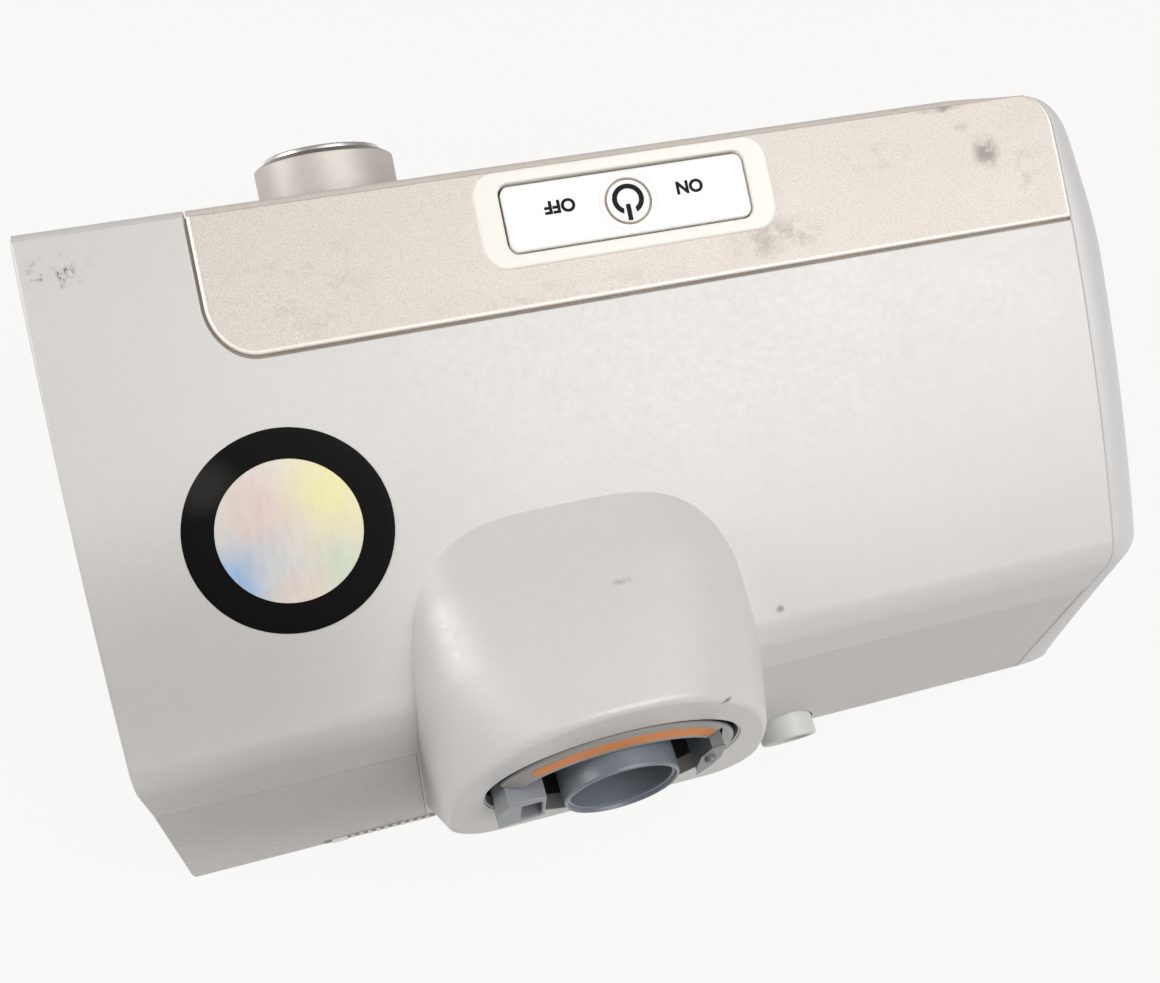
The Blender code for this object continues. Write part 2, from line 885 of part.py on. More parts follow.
def build_button_board():
    low = -button_board_depth - board_thickness
    middle = (button_x, button_run + button_board_shift)
    size = (button_board_width, button_board_height)
    outline = rounded_box(middle, size, switch_height)
    board = extrude("button_board", outline, low, low + board_thickness, on_crown_plane)
    finish(board, board_green)
    outline = rounded_box((button_x, button_run), (switch_size, switch_size), switch_height)
    seat = -button_board_depth + fit_gap
    switch = extrude("start_switch", outline, seat, seat + switch_height - fit_gap, on_crown_plane)
    finish(switch, board_black)


def on_crown_plane(a, b, depth):
    """The flat plane that touches the top at the start button."""
    origin = on_crown(button_x, button_run, 0)
    normal = button_axis()
    along = Vector((0, normal.z, -normal.y))
    return Vector((a, origin.y, origin.z)) + along * (b - button_run) + normal * depth


# Lower case with the floor and the back wall under the seam
def build_lower_case():
    outer = [(wall_y, seam_height - fit_gap / 2)] + heel_line() + toe_points
    outer += front_line(toe_height, fascia_low_height - fit_gap / 2)[1:]
    inner = offset_line(outer, base_wall)
    case = extrude("lower_case", outer + inner[::-1], side_x + fit_gap, end_x, on_x)
    inside = wall_y - base_wall - overrun
    outside = wall_y + overrun
    cut(case, block("apron_notch", (hump_x - apron_half - fit_gap, inside, apron_low - fit_gap),
                    (hump_x + apron_half + fit_gap, outside, seam_height + overrun)))
    cut(case, block("bay_front", (strip_end_x + fit_gap, front_face_y - overrun, base_top + toe_radius),
                    (end_x + overrun, front_face_y + bay_front_depth, fascia_low_height + overrun)))
    frame = inlet_frame()
    cut(case, rod("inlet_hole", inlet_radius + fit_gap, -inlet_length, inlet_proud + overrun, frame))
    boss_low = base_top - base_wall / 2
    for x, y in screw_places():
        fuse(case, rod("boss", screw_boss_radius, boss_low, base_top + screw_boss_height,
                       Matrix.Translation((x, y, 0))))
        head = Matrix.Translation((x, y, 0))
        shank_top = foot_clearance + screw_head_height + screw_shank_length
        hole = [(0, -overrun), (screw_head_radius + fit_gap, -overrun)]
        hole += [(screw_head_radius + fit_gap, foot_clearance + screw_head_height + fit_gap)]
        hole += [(screw_shank_radius + fit_gap, foot_clearance + screw_head_height + fit_gap)]
        hole += [(screw_shank_radius + fit_gap, shank_top + fit_gap), (0, shank_top + fit_gap)]
        cut(case, revolve("screw_hole", hole, head, small_segments))
    for x, y in foot_places():
        cut(case, rod("foot_hole", foot_radius + fit_gap, -overrun, foot_clearance + foot_recess,
                      Matrix.Translation((x, y, 0)), round_segments))
    for x, y in board_posts():
        fuse(case, rod("board_post", post_radius, boss_low, base_top + main_board_lift - fit_gap,
                       Matrix.Translation((x, y, 0))))
    return finish(case, base_grey)


def screw_places():
    front = front_face_y + toe_radius + screw_inset_y
    left = side_x + screw_inset_x
    right = bay_start_x - screw_boss_radius - 2 * fit_gap
    return [(left, front), (right, front), (right, screw_back_y)]


def foot_places():
    front = front_face_y + toe_radius + foot_inset_y
    back = wall_y - foot_inset_y
    return [(x, y) for x in (side_x + foot_inset_x, end_x - foot_inset_x) for y in (front, back)]


def board_posts():
    inset = 2 * post_radius
    return [(x, y) for x in (main_board_low_x + inset, main_board_high_x - inset)
            for y in (main_board_front + inset, main_board_back - inset)]


def build_fasteners():
    high = foot_clearance + foot_recess - fit_gap
    profile = [(0, 0), (foot_radius - foot_recess, 0), (foot_radius, foot_recess), (foot_radius, high)]
    foot = revolve("foot", profile + [(0, high)], Matrix.Identity(4), round_segments)
    repeat(foot, rubber_black, [(x, y, 0) for x, y in foot_places()])
    top = foot_clearance + screw_head_height
    low = foot_clearance + fit_gap
    profile = [(0, low), (screw_head_radius, low), (screw_head_radius, top), (screw_shank_radius, top)]
    profile += [(screw_shank_radius, top + screw_shank_length), (0, top + screw_shank_length)]
    screw = revolve("base_screw", profile, Matrix.Identity(4), small_segments)
    repeat(screw, steel, [(x, y, 0) for x, y in screw_places()])


def repeat(piece, material, places):
    """Stand copies of a piece, which share its mesh, at the places given."""
    finish(piece, material)
    for number, place in enumerate(places, 1):
        copy = bpy.data.objects.new(f"{piece.name}_{number}", piece.data)
        copy.location = place
        bpy.context.scene.collection.objects.link(copy)
    bpy.data.objects.remove(piece, do_unlink=True)


# Bulged side panel
def side_ring(turn, wall):
    """Side outline at one turn of the bulge: moved inward, but less near the floor."""
    def inset_at(weight):
        power = 1 + wrap_power_share * weight
        rounding = bulge_rounding + (wrap_rounding - bulge_rounding) * weight - wall
        return rounding * (1 - math.cos(turn) ** power)
    outline = offset_line(side_outline(wall + inset_at(1)), wall)
    unit = offset_line(outline, 1)
    ring = []
    for plain, shifted, (start, weight) in zip(outline, unit, side_edge()):
        rise = (plain[1] - foot_clearance) / side_blend_height
        inset = inset_at(weight) * min(max(rise, side_low_share), 1)
        reach = (start + end_x - wall) * math.sin(turn) ** (1 + wrap_power_share * weight)
        ring.append(Vector((start - reach, plain[0] + (shifted[0] - plain[0]) * inset,
                            plain[1] + (shifted[1] - plain[1]) * inset)))
    return ring


def build_side_panel():
    turns = spread(0, math.pi / 2, corner_steps)
    rings = [side_ring(turn, side_wall) for turn in turns[::-1]] + [side_ring(turn, 0) for turn in turns]
    shell = loft("side_panel", rings)
    outline = wrap_outline(fit_gap / 2)
    outline += [(outline[-1][0], 2 * wrap), (side_x + 2 * wrap, 2 * wrap), (side_x + 2 * wrap, -overrun)]
    outline.append((outline[0][0], -overrun))
    cut(shell, extrude("crown_room", outline, -case_wall - fit_gap, overrun, on_crown))
    for middle, size in ((card_middle, card_size), (filter_middle, filter_size)):
        outline = side_cover_outline(middle, size, fit_gap)
        cut(shell, extrude("side_hole", outline, -side_wall - overrun, overrun, on_side))
    return finish(shell, shell_grey)


card_middle = (card_y, card_z)
card_size = (card_width, card_height)
filter_middle = (filter_y, filter_z)
filter_size = (filter_width, filter_height)


def side_cover_outline(middle, size, grow):
    return rounded_box(middle, (size[0] + 2 * grow, size[1] + 2 * grow), side_cover_thickness / 2)


def build_side_cover(name, middle, size, vents=0):
    """A door hinged along its lower edge, which is rounded about the hinge axis."""
    half = side_cover_thickness / 2
    low = middle[1] - size[1] / 2
    profile = [(-end_x, low + size[1])]
    for angle in spread(math.pi, 2 * math.pi, small_segments // 2):
        profile.append((-end_x + half + half * math.cos(angle), low + half + half * math.sin(angle)))
    profile.append((-end_x + side_cover_thickness, low + size[1]))
    door = extrude(name, profile, middle[0] - size[0] / 2, middle[0] + size[0] / 2, on_y)
    grip = (middle[0], low + size[1] - half)
    notch = rounded_box(grip, (size[0] / 3, side_cover_thickness), half * grip_corner_share)
    cut(door, extrude("grip", notch, -half, overrun, on_side))
    for index in range(vents):
        place = (middle[0], low + size[1] * (index + 1) / (vents + 1))
        vent = rounded_box(place, (vent_length, vent_width), vent_width / 3, 1)
        cut(door, extrude("vent", vent, -side_cover_thickness - overrun, overrun, on_side))
    return finish(door, shell_grey, (-end_x + half, middle[0], low + half))


def build_card_socket():
    depth = -side_wall - fit_gap
    outer = (card_width + 2 * socket_margin, card_height + 2 * socket_margin)
    outline = rounded_box(card_middle, outer, socket_margin / 2)
    socket = extrude("card_socket", outline, depth - card_socket_depth, depth, on_side)
    slot = rounded_box(card_middle, (card_width - socket_margin, socket_slot), socket_slot / 3)
    cut(socket, extrude("slot", slot, depth - card_socket_depth + socket_margin, depth + overrun, on_side))
    finish(socket, board_black)


def build_filter():
    """The tray behind the side panel, open outward, with bars across its back, and its pad."""
    face = -side_wall - fit_gap
    back = face - filter_thickness - filter_back
    outer = (filter_width + 2 * socket_margin, filter_height + 2 * socket_margin)
    holder = extrude("filter_holder", rounded_box(filter_middle, outer, socket_margin), back, face, on_side)
    pocket = rounded_box(filter_middle, filter_size, side_cover_thickness / 2)
    cut(holder, extrude("pocket", pocket, back + filter_back, face + overrun, on_side))
    step = (filter_width - filter_bar_width) / filter_bars
    for index in range(filter_bars):
        place = (filter_y + step * (index + 1 / 2) - filter_width / 2 + filter_bar_width / 2, filter_z)
        opening = (step - filter_bar_width, filter_height - 2 * filter_bar_width)
        slot = rounded_box(place, opening, filter_bar_width / 3, 1)
        cut(holder, extrude("slot", slot, back - overrun, back + filter_back + overrun, on_side))
    finish(holder, base_grey)
    size = (filter_width - 2 * fit_gap, filter_height - 2 * fit_gap)
    outline = rounded_box(filter_middle, size, side_cover_thickness / 2 - fit_gap)
    finish(extrude("air_filter", outline, back + filter_back + fit_gap, face, on_side), filter_white)


# Leaning front with screen, dial and home button
fascia_top = case_wall / lean_cos + fit_gap


def build_front_fascia():
    high = overall_height - fascia_top * lean_cos
    outer = front_line(fascia_low_height + fit_gap / 2, high)
    inner = offset_line(outer, fascia_wall)
    fascia = extrude("front_fascia", outer + inner[::-1], side_x + fit_gap, strip_end_x, on_x)
    edge = [(side_x + wrap * wrap_share(z) + fit_gap, z) for y, z in front_line(toe_height, overall_height)]
    room = [(side_x - overrun, toe_height)] + edge + [(side_x - overrun, overall_height)]
    cut(fascia, extrude("wrap", room, front_face_y - overrun, front_edge_y + overrun, on_y))
    outline = rounded_box((screen_x, screen_drop), (screen_width + 2 * fit_gap, screen_height + 2 * fit_gap),
                          screen_corner + fit_gap)
    cut(fascia, extrude("window", outline, -fascia_wall - overrun, overrun, on_front))
    for x, drop, radius in ((dial_x, dial_drop, shaft_radius), (home_x, home_drop, home_radius)):
        frame = frame_on(on_front(x, drop, 0), front_axis)
        cut(fascia, rod("hole", radius + fit_gap, -fascia_wall - overrun, overrun, frame, round_segments))
    for x, drop in panel_posts():
        frame = frame_on(on_front(x, drop, 0), front_axis)
        fuse(fascia, rod("post", post_radius, -panel_depth + fit_gap, -fascia_wall * root_share, frame))
    return finish(fascia, fascia_dark)


front_axis = Vector((0, -lean_cos, lean_sin))


def panel_posts():
    inset = 2 * post_radius
    return [(x, drop) for x in (panel_board_low_x + inset, panel_board_high_x - inset)
            for drop in (panel_board_top + inset, panel_board_bottom - inset)]


def build_screen():
    middle = (screen_x, screen_drop)
    outline = rounded_box(middle, (screen_width, screen_height), screen_corner)
    finish(extrude("screen_lens", outline, -lens_thickness, 0, on_front), lens_black)
    size = (screen_width - 2 * lcd_margin, screen_height - 2 * lcd_margin)
    back = -panel_depth + fit_gap
    outline = rounded_box(middle, size, lcd_margin / 2)
    finish(extrude("lcd_module", outline, back, -lens_thickness - fit_gap, on_front), board_black)
    outline = box_outline((panel_board_low_x, panel_board_top), (panel_board_high_x, panel_board_bottom))
    board = extrude("display_board", outline, -panel_depth - board_thickness, -panel_depth, on_front)
    finish(board, board_green)


def build_dial():
    pivot = on_front(dial_x, dial_drop, 0)
    frame = frame_on(pivot, front_axis)
    top = dial_lift + dial_height
    bm = bmesh.new()
    heights = [(dial_radius - dial_chamfer / 2, dial_lift), (dial_radius, dial_lift + dial_chamfer / 2)]
    heights += [(dial_radius, top - dial_chamfer), (dial_rim_radius, top)]
    rows = []
    count = 2 * dial_flutes
    for level, (radius, height) in enumerate(heights):
        row = []
        for index in range(count):
            angle = 2 * math.pi * index / count
            dent = dial_flute_depth if index % 2 and level in (1, 2) else 0
            local = Vector(((radius - dent) * math.cos(angle), (radius - dent) * math.sin(angle), height))
            row.append(bm.verts.new(frame @ local))
        rows.append(row)
    for row, following in zip(rows, rows[1:]):
        for index in range(count):
            after = (index + 1) % count
            bm.faces.new((row[index], row[after], following[after], following[index]))
    bm.faces.new(rows[0])
    bm.faces.new(rows[-1])
    knob = add_object("dial_knob", bm)
    bore = dial_lift + shaft_engagement
    cut(knob, rod("bore", shaft_radius + fit_gap, -overrun, bore + fit_gap, frame))
    groove = dial_rim_radius - dial_ring_wall
    seat = [(dial_rim_radius + fit_gap, top + overrun), (dial_rim_radius + fit_gap, top - dial_ring_rise)]
    seat += [(groove - fit_gap, top - dial_ring_rise), (groove - fit_gap, top + overrun)]
    cut(knob, revolve("ring_seat", seat, frame, count, ring_closed=True))
    finish(knob, silver, pivot)
    ring = [(dial_rim_radius, top - dial_ring_rise + fit_gap), (dial_rim_radius, top + dial_ring_rise)]
    ring += [(groove, top + dial_ring_rise), (groove, top - dial_ring_rise + fit_gap)]
    finish(revolve("dial_trim_ring", ring, frame, 2 * round_segments, ring_closed=True), silver, pivot)
    low = -panel_depth + dial_travel + 2 * fit_gap
    finish(rod("encoder_shaft", shaft_radius, low, bore, frame), steel, pivot)
    high = -fascia_wall - 2 * fit_gap
    plunger = [(shaft_radius + fit_gap, high - plunger_length), (shaft_radius + fit_gap, high)]
    plunger += [(shaft_radius + plunger_wall, high), (shaft_radius + plunger_wall, high - plunger_length)]
    finish(revolve("encoder_plunger", plunger, frame, small_segments, ring_closed=True), board_black, pivot)
    half = encoder_size / 2
    outline = box_outline((dial_x - half, dial_drop - half), (dial_x + half, dial_drop + half))
    body = extrude("encoder_body", outline, -panel_depth + fit_gap, -fascia_wall - fit_gap, on_front)
    cut(body, rod("bore", shaft_radius + plunger_wall + fit_gap, -panel_depth - overrun, overrun, frame))
    finish(body, steel)


def build_home_button():
    pivot = on_front(home_x, home_drop, 0)
    frame = frame_on(pivot, front_axis)
    low = home_rise - home_length
    profile = [(0, low), (home_radius, low), (home_radius, 0)]
    profile += [(home_radius - home_rise / 2, home_rise), (0, home_rise)]
    finish(revolve("home_button", profile, frame, round_segments), silver, pivot)
    half = home_radius * root_share
    outline = box_outline((home_x - half, home_drop - half), (home_x + half, home_drop + half))
    seat = -panel_depth + fit_gap
    finish(extrude("home_switch", outline, seat, seat + home_switch_height, on_front), board_black)


# Outlet insert, tube and sockets
def ellipse_ring(half_width, half_height, y, height=oval_height):
    return [Vector((x, y, z)) for x, z in ellipse_outline((hump_x, height), half_width, half_height)]


def build_outlet():
    wide = oval_half_width - oval_show_gap
    tall = oval_half_height - oval_show_gap
    thin = flange_width
    back = mouth_y - insert_depth
    floor = back + insert_floor
    crest = mouth_y + flange_rise
    lip = flange_rise / 5
    hole = tube_radius + fit_gap
    rings = [ellipse_ring(wide - insert_draft, tall - insert_draft, back)]
    rings.append(ellipse_ring(wide, tall, mouth_y - lip))
    rings.append(ellipse_ring(wide - lip, tall - lip, mouth_y + lip))
    rings.append(ellipse_ring(wide - thin + lip, tall - thin + lip, crest))
    rings.append(ellipse_ring(wide - thin, tall - thin, crest - lip))
    rings.append(ellipse_ring(wide - thin, tall - thin, floor))
    rings.append(ellipse_ring(hole, hole, floor, tube_height))
    rings.append(ellipse_ring(hole, hole, back, tube_height))
    insert = loft("outlet_insert", rings, ring_closed=True)
    seat = mouth_y - socket_seat_depth
    for offset, lift, width, height in ((connector_offset, 0, connector_width, connector_height),
                                        (-latch_offset, latch_lift, latch_width, latch_height)):
        half = Vector((width / 2 + fit_gap, 0, height / 2 + fit_gap))
        middle = Vector((hump_x + offset, 0, oval_height + lift))
        low = middle - half + Vector((0, seat - fit_gap, 0))
        high = middle + half + Vector((0, mouth_y + overrun, 0))
        cut(insert, block("socket_seat", low, high))
    finish(insert, insert_grey)

    rim = mouth_y + tube_proud
    inner = tube_radius - tube_wall
    flare = tube_wall / 3
    collar = back - fit_gap
    profile = [(tube_radius, collar), (tube_radius, rim - flare), (tube_radius - flare, rim)]
    profile += [(inner + flare, rim), (inner, rim - flare), (inner, collar - tube_collar - tube_spigot)]
    profile += [(tube_radius, collar - tube_collar - tube_spigot), (tube_radius, collar - tube_collar)]
    profile += [(tube_radius + tube_collar, collar - tube_collar), (tube_radius + tube_collar, collar)]
    frame = Matrix.Translation((hump_x, 0, tube_height)) @ Matrix.Rotation(-math.pi / 2, 4, "X")
    finish(revolve("outlet_tube", profile, frame, round_segments, ring_closed=True), tube_slate)

    front = mouth_y + connector_proud
    middle = hump_x + connector_offset
    half = connector_width / 2
    high = oval_height + connector_height / 2
    low = oval_height - connector_height / 2
    outline = [(middle - half, low), (middle + half - 2 * connector_bevel, low)]
    outline += [(middle + half, high - 2 * connector_bevel), (middle + half - connector_bevel, high)]
    outline.append((middle - half, high))
    connector = extrude("tube_connector", outline, seat, front, on_y)
    size = (connector_hole_width, connector_hole_height)
    hole_outline = rounded_box((middle - connector_bevel / 2, oval_height), size, connector_bevel / 3)
    cut(connector, extrude("hole", hole_outline, front - connector_hole_depth, front + overrun, on_y))
    finish(connector, insert_grey)

    front = mouth_y + latch_proud
    middle = hump_x - latch_offset
    half = latch_width / 2
    high = oval_height + latch_lift + latch_height / 2
    low = high - latch_height
    outline = [(middle - half, low + half), (middle, low), (middle + half, low), (middle + half, high)]
    outline += [(middle, high), (middle - half, high - half)]
    latch = extrude("tube_latch", outline, seat, front, on_y)
    pin_height = oval_height + latch_lift + latch_pin_lift
    pin_frame = Matrix.Translation((middle, front, pin_height)) @ Matrix.Rotation(-math.pi / 2, 4, "X")
    fuse(latch, rod("pin", latch_pin_radius, -latch_pin_rise, latch_pin_rise, pin_frame))
    finish(latch, insert_grey)


def build_outlet_elbow():
    """Duct from the back of the outlet tube, forward and round to the port of the bay."""
    start = elbow_port_y + elbow_bend
    end = bay_start_x - fit_gap
    centre = Vector((hump_x + elbow_bend, start, tube_height))
    stations = []
    for angle in spread(math.pi, 1.5 * math.pi, elbow_steps):
        radial = Vector((math.cos(angle), math.sin(angle), 0))
        stations.append((centre + radial * elbow_bend, radial))
    stations.append((Vector((end, start - elbow_bend, tube_height)), Vector((0, -1, 0))))
    rings = []
    for radius, order in ((elbow_radius, stations), (elbow_radius - elbow_wall, stations[::-1])):
        for place, radial in order:
            ring = []
            for step in range(pipe_segments):
                angle = 2 * math.pi * step / pipe_segments
                spoke = radial * math.cos(angle) + Vector((0, 0, math.sin(angle)))
                ring.append(place + spoke * radius)
            rings.append(ring)
    finish(loft("outlet_elbow", rings, ring_closed=True), liner_grey)


# Tub bay
elbow_port_y = mouth_y - insert_depth - tube_collar - tube_spigot - 2 * fit_gap - elbow_bend


def bay_outline(wall):
    """Section of the bay seen from the side: roof, back, floor and leaning front."""
    shell = crown_line(0, bend_start) + bend_line() + [(wall_y, foot_clearance)]
    roof = offset_line(shell, case_wall + fit_gap)
    front = front_edge_y + bay_front_depth / lean_cos
    floor = base_top + fit_gap

    def front_at(z):
        return front - (overall_height - max(z, bay_knee_height)) * lean_sin / lean_cos

    kept = [point for point in roof if point[0] > front_at(point[1]) and point[1] > floor]
    first = roof[roof.index(kept[0]) - 1]
    share_low, share_high = 0, 1
    for _ in range(solver_rounds):
        share = (share_low + share_high) / 2
        y = first[0] + (kept[0][0] - first[0]) * share
        z = first[1] + (kept[0][1] - first[1]) * share
        if y > front_at(z):
            share_high = share
        else:
            share_low = share
    points = [(y, z)] + kept + [(kept[-1][0], floor + heel_radius - base_wall)]
    points.append((kept[-1][0] - heel_radius + base_wall, floor))
    points += [(front_at(floor), floor), (front_at(bay_knee_height), bay_knee_height)]
    return offset_line(points, wall, closed=True)


def build_bay_liner():
    high = hood_x - bay_end_setback
    liner = extrude("bay_liner", bay_outline(0), bay_start_x, high, on_x)
    inner = bay_outline(bay_wall)
    cut(liner, extrude("bay_inside", inner, bay_start_x + bay_wall, end_x + overrun, on_x))
    wide = front_face_y - overrun
    opening = [inner[0], (inner[0][0], inner[-2][1]), (wide, inner[-2][1]), (wide, inner[0][1])]
    cut(liner, extrude("bay_front", opening, strip_end_x, end_x + overrun, on_x))
    for y, z in ((blower_port_y, blower_port_z), (elbow_port_y, tube_height)):
        frame = frame_on((bay_start_x, y, z), (1, 0, 0))
        cut(liner, rod("port", port_radius, -overrun, overrun, frame, round_segments))
    middle = (heater_x, heater_y)
    well = rounded_box(middle, (heater_width + 2 * gasket_width + 4 * fit_gap,
                                heater_length + 2 * gasket_width + 4 * fit_gap), heater_corner + gasket_width)
    floor = base_top + fit_gap
    cut(liner, extrude("well", well, floor - overrun, floor + bay_wall + overrun, on_z))
    return finish(liner, liner_grey)


def build_heater():
    middle = (heater_x, heater_y)
    low = base_top + fit_gap
    outline = rounded_box(middle, (heater_width, heater_length), heater_corner)
    finish(extrude("heater_plate", outline, low, low + heater_thickness, on_z), heater_metal)
    outer = (heater_width + 2 * gasket_width + 2 * fit_gap, heater_length + 2 * gasket_width + 2 * fit_gap)
    inner = (heater_width + 2 * fit_gap, heater_length + 2 * fit_gap)
    outline = rounded_box(middle, outer, heater_corner + gasket_width)
    gasket = extrude("heater_gasket", outline, low, low + bay_wall, on_z)
    hole = rounded_box(middle, inner, heater_corner + fit_gap)
    cut(gasket, extrude("hole", hole, low - overrun, low + bay_wall + overrun, on_z))
    finish(gasket, silicone)


def build_port_seals():
    outer = port_radius - fit_gap
    inner = outer - port_lip
    profile = [(outer, fit_gap), (outer, bay_wall + fit_gap), (outer + port_lip, bay_wall + fit_gap)]
    profile += [(outer + port_lip / 2, bay_wall + port_lip_length), (inner, bay_wall + port_lip_length)]
    profile += [(inner, fit_gap)]
    seal = revolve("port_seal", profile, frame_on((0, 0, 0), (1, 0, 0)), pipe_segments, ring_closed=True)
    places = ((blower_port_y, blower_port_z), (elbow_port_y, tube_height))
    repeat(seal, silicone, [(bay_start_x, y, z) for y, z in places])


# Blower
def scroll_radius(angle):
    """The scroll grows clockwise from its tongue, at a quarter turn, round to its top."""
    return blower_large_radius - (blower_large_radius - blower_small_radius) * (angle / (2 * math.pi) + 0.75)


def volute_outline(wall, first_angle, reach):
    """Outline of the scroll, a wall inside its outer face, with a spout toward +X."""
    points = []
    for angle in spread(first_angle, -1.5 * math.pi, scroll_steps):
        radius = scroll_radius(angle) - wall
        points.append((blower_x + radius * math.cos(angle), blower_y + radius * math.sin(angle)))
    spout_end = blower_x + blower_spout + reach
    points.append((spout_end, points[-1][1]))
    return points + [(spout_end, tongue_y + wall), (points[0][0], tongue_y + wall)]


tongue_y = blower_y + scroll_radius(tongue_angle) * math.sin(tongue_angle)


def build_blower():
    low = blower_low_z
    high = low + blower_body_height
    outline = volute_outline(0, tongue_angle, 0)[:-1]
    base = extrude("blower_base", outline, low, high, on_z)
    inside = volute_outline(blower_wall, throat_angle, overrun)
    cut(base, extrude("volute", inside, low + blower_wall, high + overrun, on_z))
    axis = Matrix.Translation((blower_x, blower_y, 0))
    floor = low + blower_wall
    cut(base, rod("eye", blower_inlet_radius, low - overrun, floor + overrun, axis, round_segments))
    for x, y in mount_places():
        cut(base, rod("mount_hole", axle_radius, low - overrun, low + blower_wall + overrun,
                      Matrix.Translation((x, y, 0))))
    finish(base, base_grey)
    seat = high + fit_gap
    cover = extrude("blower_cover", outline, seat, seat + blower_cover_thickness, on_z)
    lid = seat + blower_cover_thickness
    cut(cover, rod("axle_hole", axle_radius + fit_gap, high - overrun, lid + overrun, axis))
    finish(cover, base_grey)
    motor_low = lid + fit_gap
    motor_high = motor_low + motor_height
    cap_high = motor_high + motor_cap_height
    profile = [(0, motor_low), (motor_radius, motor_low), (motor_radius, motor_high)]
    profile += [(motor_cap_radius, motor_high), (motor_cap_radius, cap_high), (0, cap_high)]
    motor = revolve("motor", profile, axis, round_segments)
    top = motor_low + axle_engagement
    cut(motor, rod("bore", axle_radius + fit_gap, motor_low - overrun, top + fit_gap, axis))
    finish(motor, steel)
    build_impeller(low + blower_wall + impeller_disc, high - fit_gap, top)


def build_impeller(low, high, axle_top):
    """Swept blades between an eye and the rim, under a disc turned in one with its axle."""
    axis = Matrix.Translation((blower_x, blower_y, 0))
    disc_low = low + impeller_height
    hub_low = disc_low - impeller_hub / 2
    disc_high = disc_low + impeller_disc
    profile = [(0, hub_low), (impeller_hub, hub_low), (impeller_hub, disc_low), (impeller_radius, disc_low)]
    profile += [(impeller_radius, disc_high), (axle_radius, disc_high)]
    profile += [(axle_radius, axle_top), (0, axle_top)]
    wheel = revolve("impeller", profile, axis, round_segments)
    for blade in range(impeller_blades):
        start = 2 * math.pi * (blade + blade_phase_share) / impeller_blades
        front, back = [], []
        for step in range(blade_steps + 1):
            share = step / blade_steps
            radius = impeller_eye + (impeller_radius - impeller_blade_thickness - impeller_eye) * share
            turn = start + blade_sweep * share
            half = impeller_blade_thickness / 2 / radius
            for side, angle in ((front, turn + half), (back, turn - half)):
                side.append((blower_x + radius * math.cos(angle), blower_y + radius * math.sin(angle)))
        fuse(wheel, extrude("blade", front + back[::-1], low, disc_low + impeller_disc / 2, on_z))
    finish(wheel, button_white, (blower_x, blower_y, low))


def mount_places():
    places = []
    for index in range(mount_count):
        angle = 2 * math.pi * index / mount_count + math.pi / 6
        places.append((blower_x + mount_circle * math.cos(angle), blower_y + mount_circle * math.sin(angle)))
    return places


def build_blower_mounts():
    low = base_top + fit_gap
    high = blower_low_z - fit_gap
    waist = mount_radius * mount_waist_share
    profile = [(0, low), (mount_radius, low), (waist, (low + high) / 2), (mount_radius, high), (0, high)]
    mount = revolve("blower_mount", profile, Matrix.Identity(4), small_segments)
    repeat(mount, rubber_black, [(x, y, 0) for x, y in mount_places()])


def build_blower_pipe():
    start = blower_x + blower_spout + fit_gap
    end = bay_start_x - fit_gap
    frame = frame_on((0, blower_port_y, blower_port_z), (1, 0, 0))
    step = (end - start) / (2 * pipe_ribs + 1)
    profile = [(pipe_radius, start)]
    for index in range(2 * pipe_ribs):
        radius = pipe_radius + (pipe_rib if index % 2 == 0 else 0)
        profile.append((radius, start + step * (index + 1)))
    profile += [(pipe_radius, end), (pipe_radius - pipe_wall, end), (pipe_radius - pipe_wall, start)]
    finish(revolve("blower_pipe", profile, frame, pipe_segments, ring_closed=True), silicone)


def build_inside():
    low = base_top + fit_gap
    foam = block("muffler_foam", (foam_low_x, foam_low_y, low), (foam_high_x, foam_high_y, low + foam_height))
    finish(foam, foam_grey)
    seat = base_top + main_board_lift
    board = block("main_board", (main_board_low_x, main_board_front, seat),
                  (main_board_high_x, main_board_back, seat + board_thickness))
    sink = seat + board_thickness / 2
    middle = (main_board_front + main_board_back) / 2
    for x in spread(main_board_low_x, main_board_high_x, capacitor_count + 2)[1:-2]:
        frame = Matrix.Translation((x, middle, 0))
        fuse(board, rod("capacitor", capacitor_radius, sink, seat + capacitor_height, frame))
    chip_x = main_board_high_x - 2 * chip_size
    fuse(board, block("chip", (chip_x, middle - chip_size / 2, sink),
                      (chip_x + chip_size, middle + chip_size / 2, seat + board_thickness + chip_height)))
    finish(board, board_green)


# Power inlet
def inlet_frame():
    direction = Vector((0, math.cos(inlet_tilt), -math.sin(inlet_tilt)))
    return frame_on((inlet_x, wall_y, inlet_height), direction)


def build_inlet():
    frame = inlet_frame()
    inner = inlet_radius - inlet_wall
    low = inlet_proud - inlet_length
    floor = inlet_proud - inlet_bore_depth
    flare = inlet_wall / 3
    profile = [(0, low), (inlet_radius, low), (inlet_radius, inlet_proud - flare)]
    profile += [(inlet_radius - flare, inlet_proud), (inner + flare, inlet_proud)]
    profile += [(inner, inlet_proud - flare), (inner, floor), (0, floor)]
    collar = revolve("power_inlet", profile, frame, round_segments)
    seat = floor - inlet_wall
    cut(collar, rod("pin_hole", inlet_pin_radius + fit_gap, seat, inlet_proud, frame))
    finish(collar, collar_grey)
    finish(rod("inlet_pin", inlet_pin_radius, seat + fit_gap, inlet_proud - inlet_wall, frame), brass)


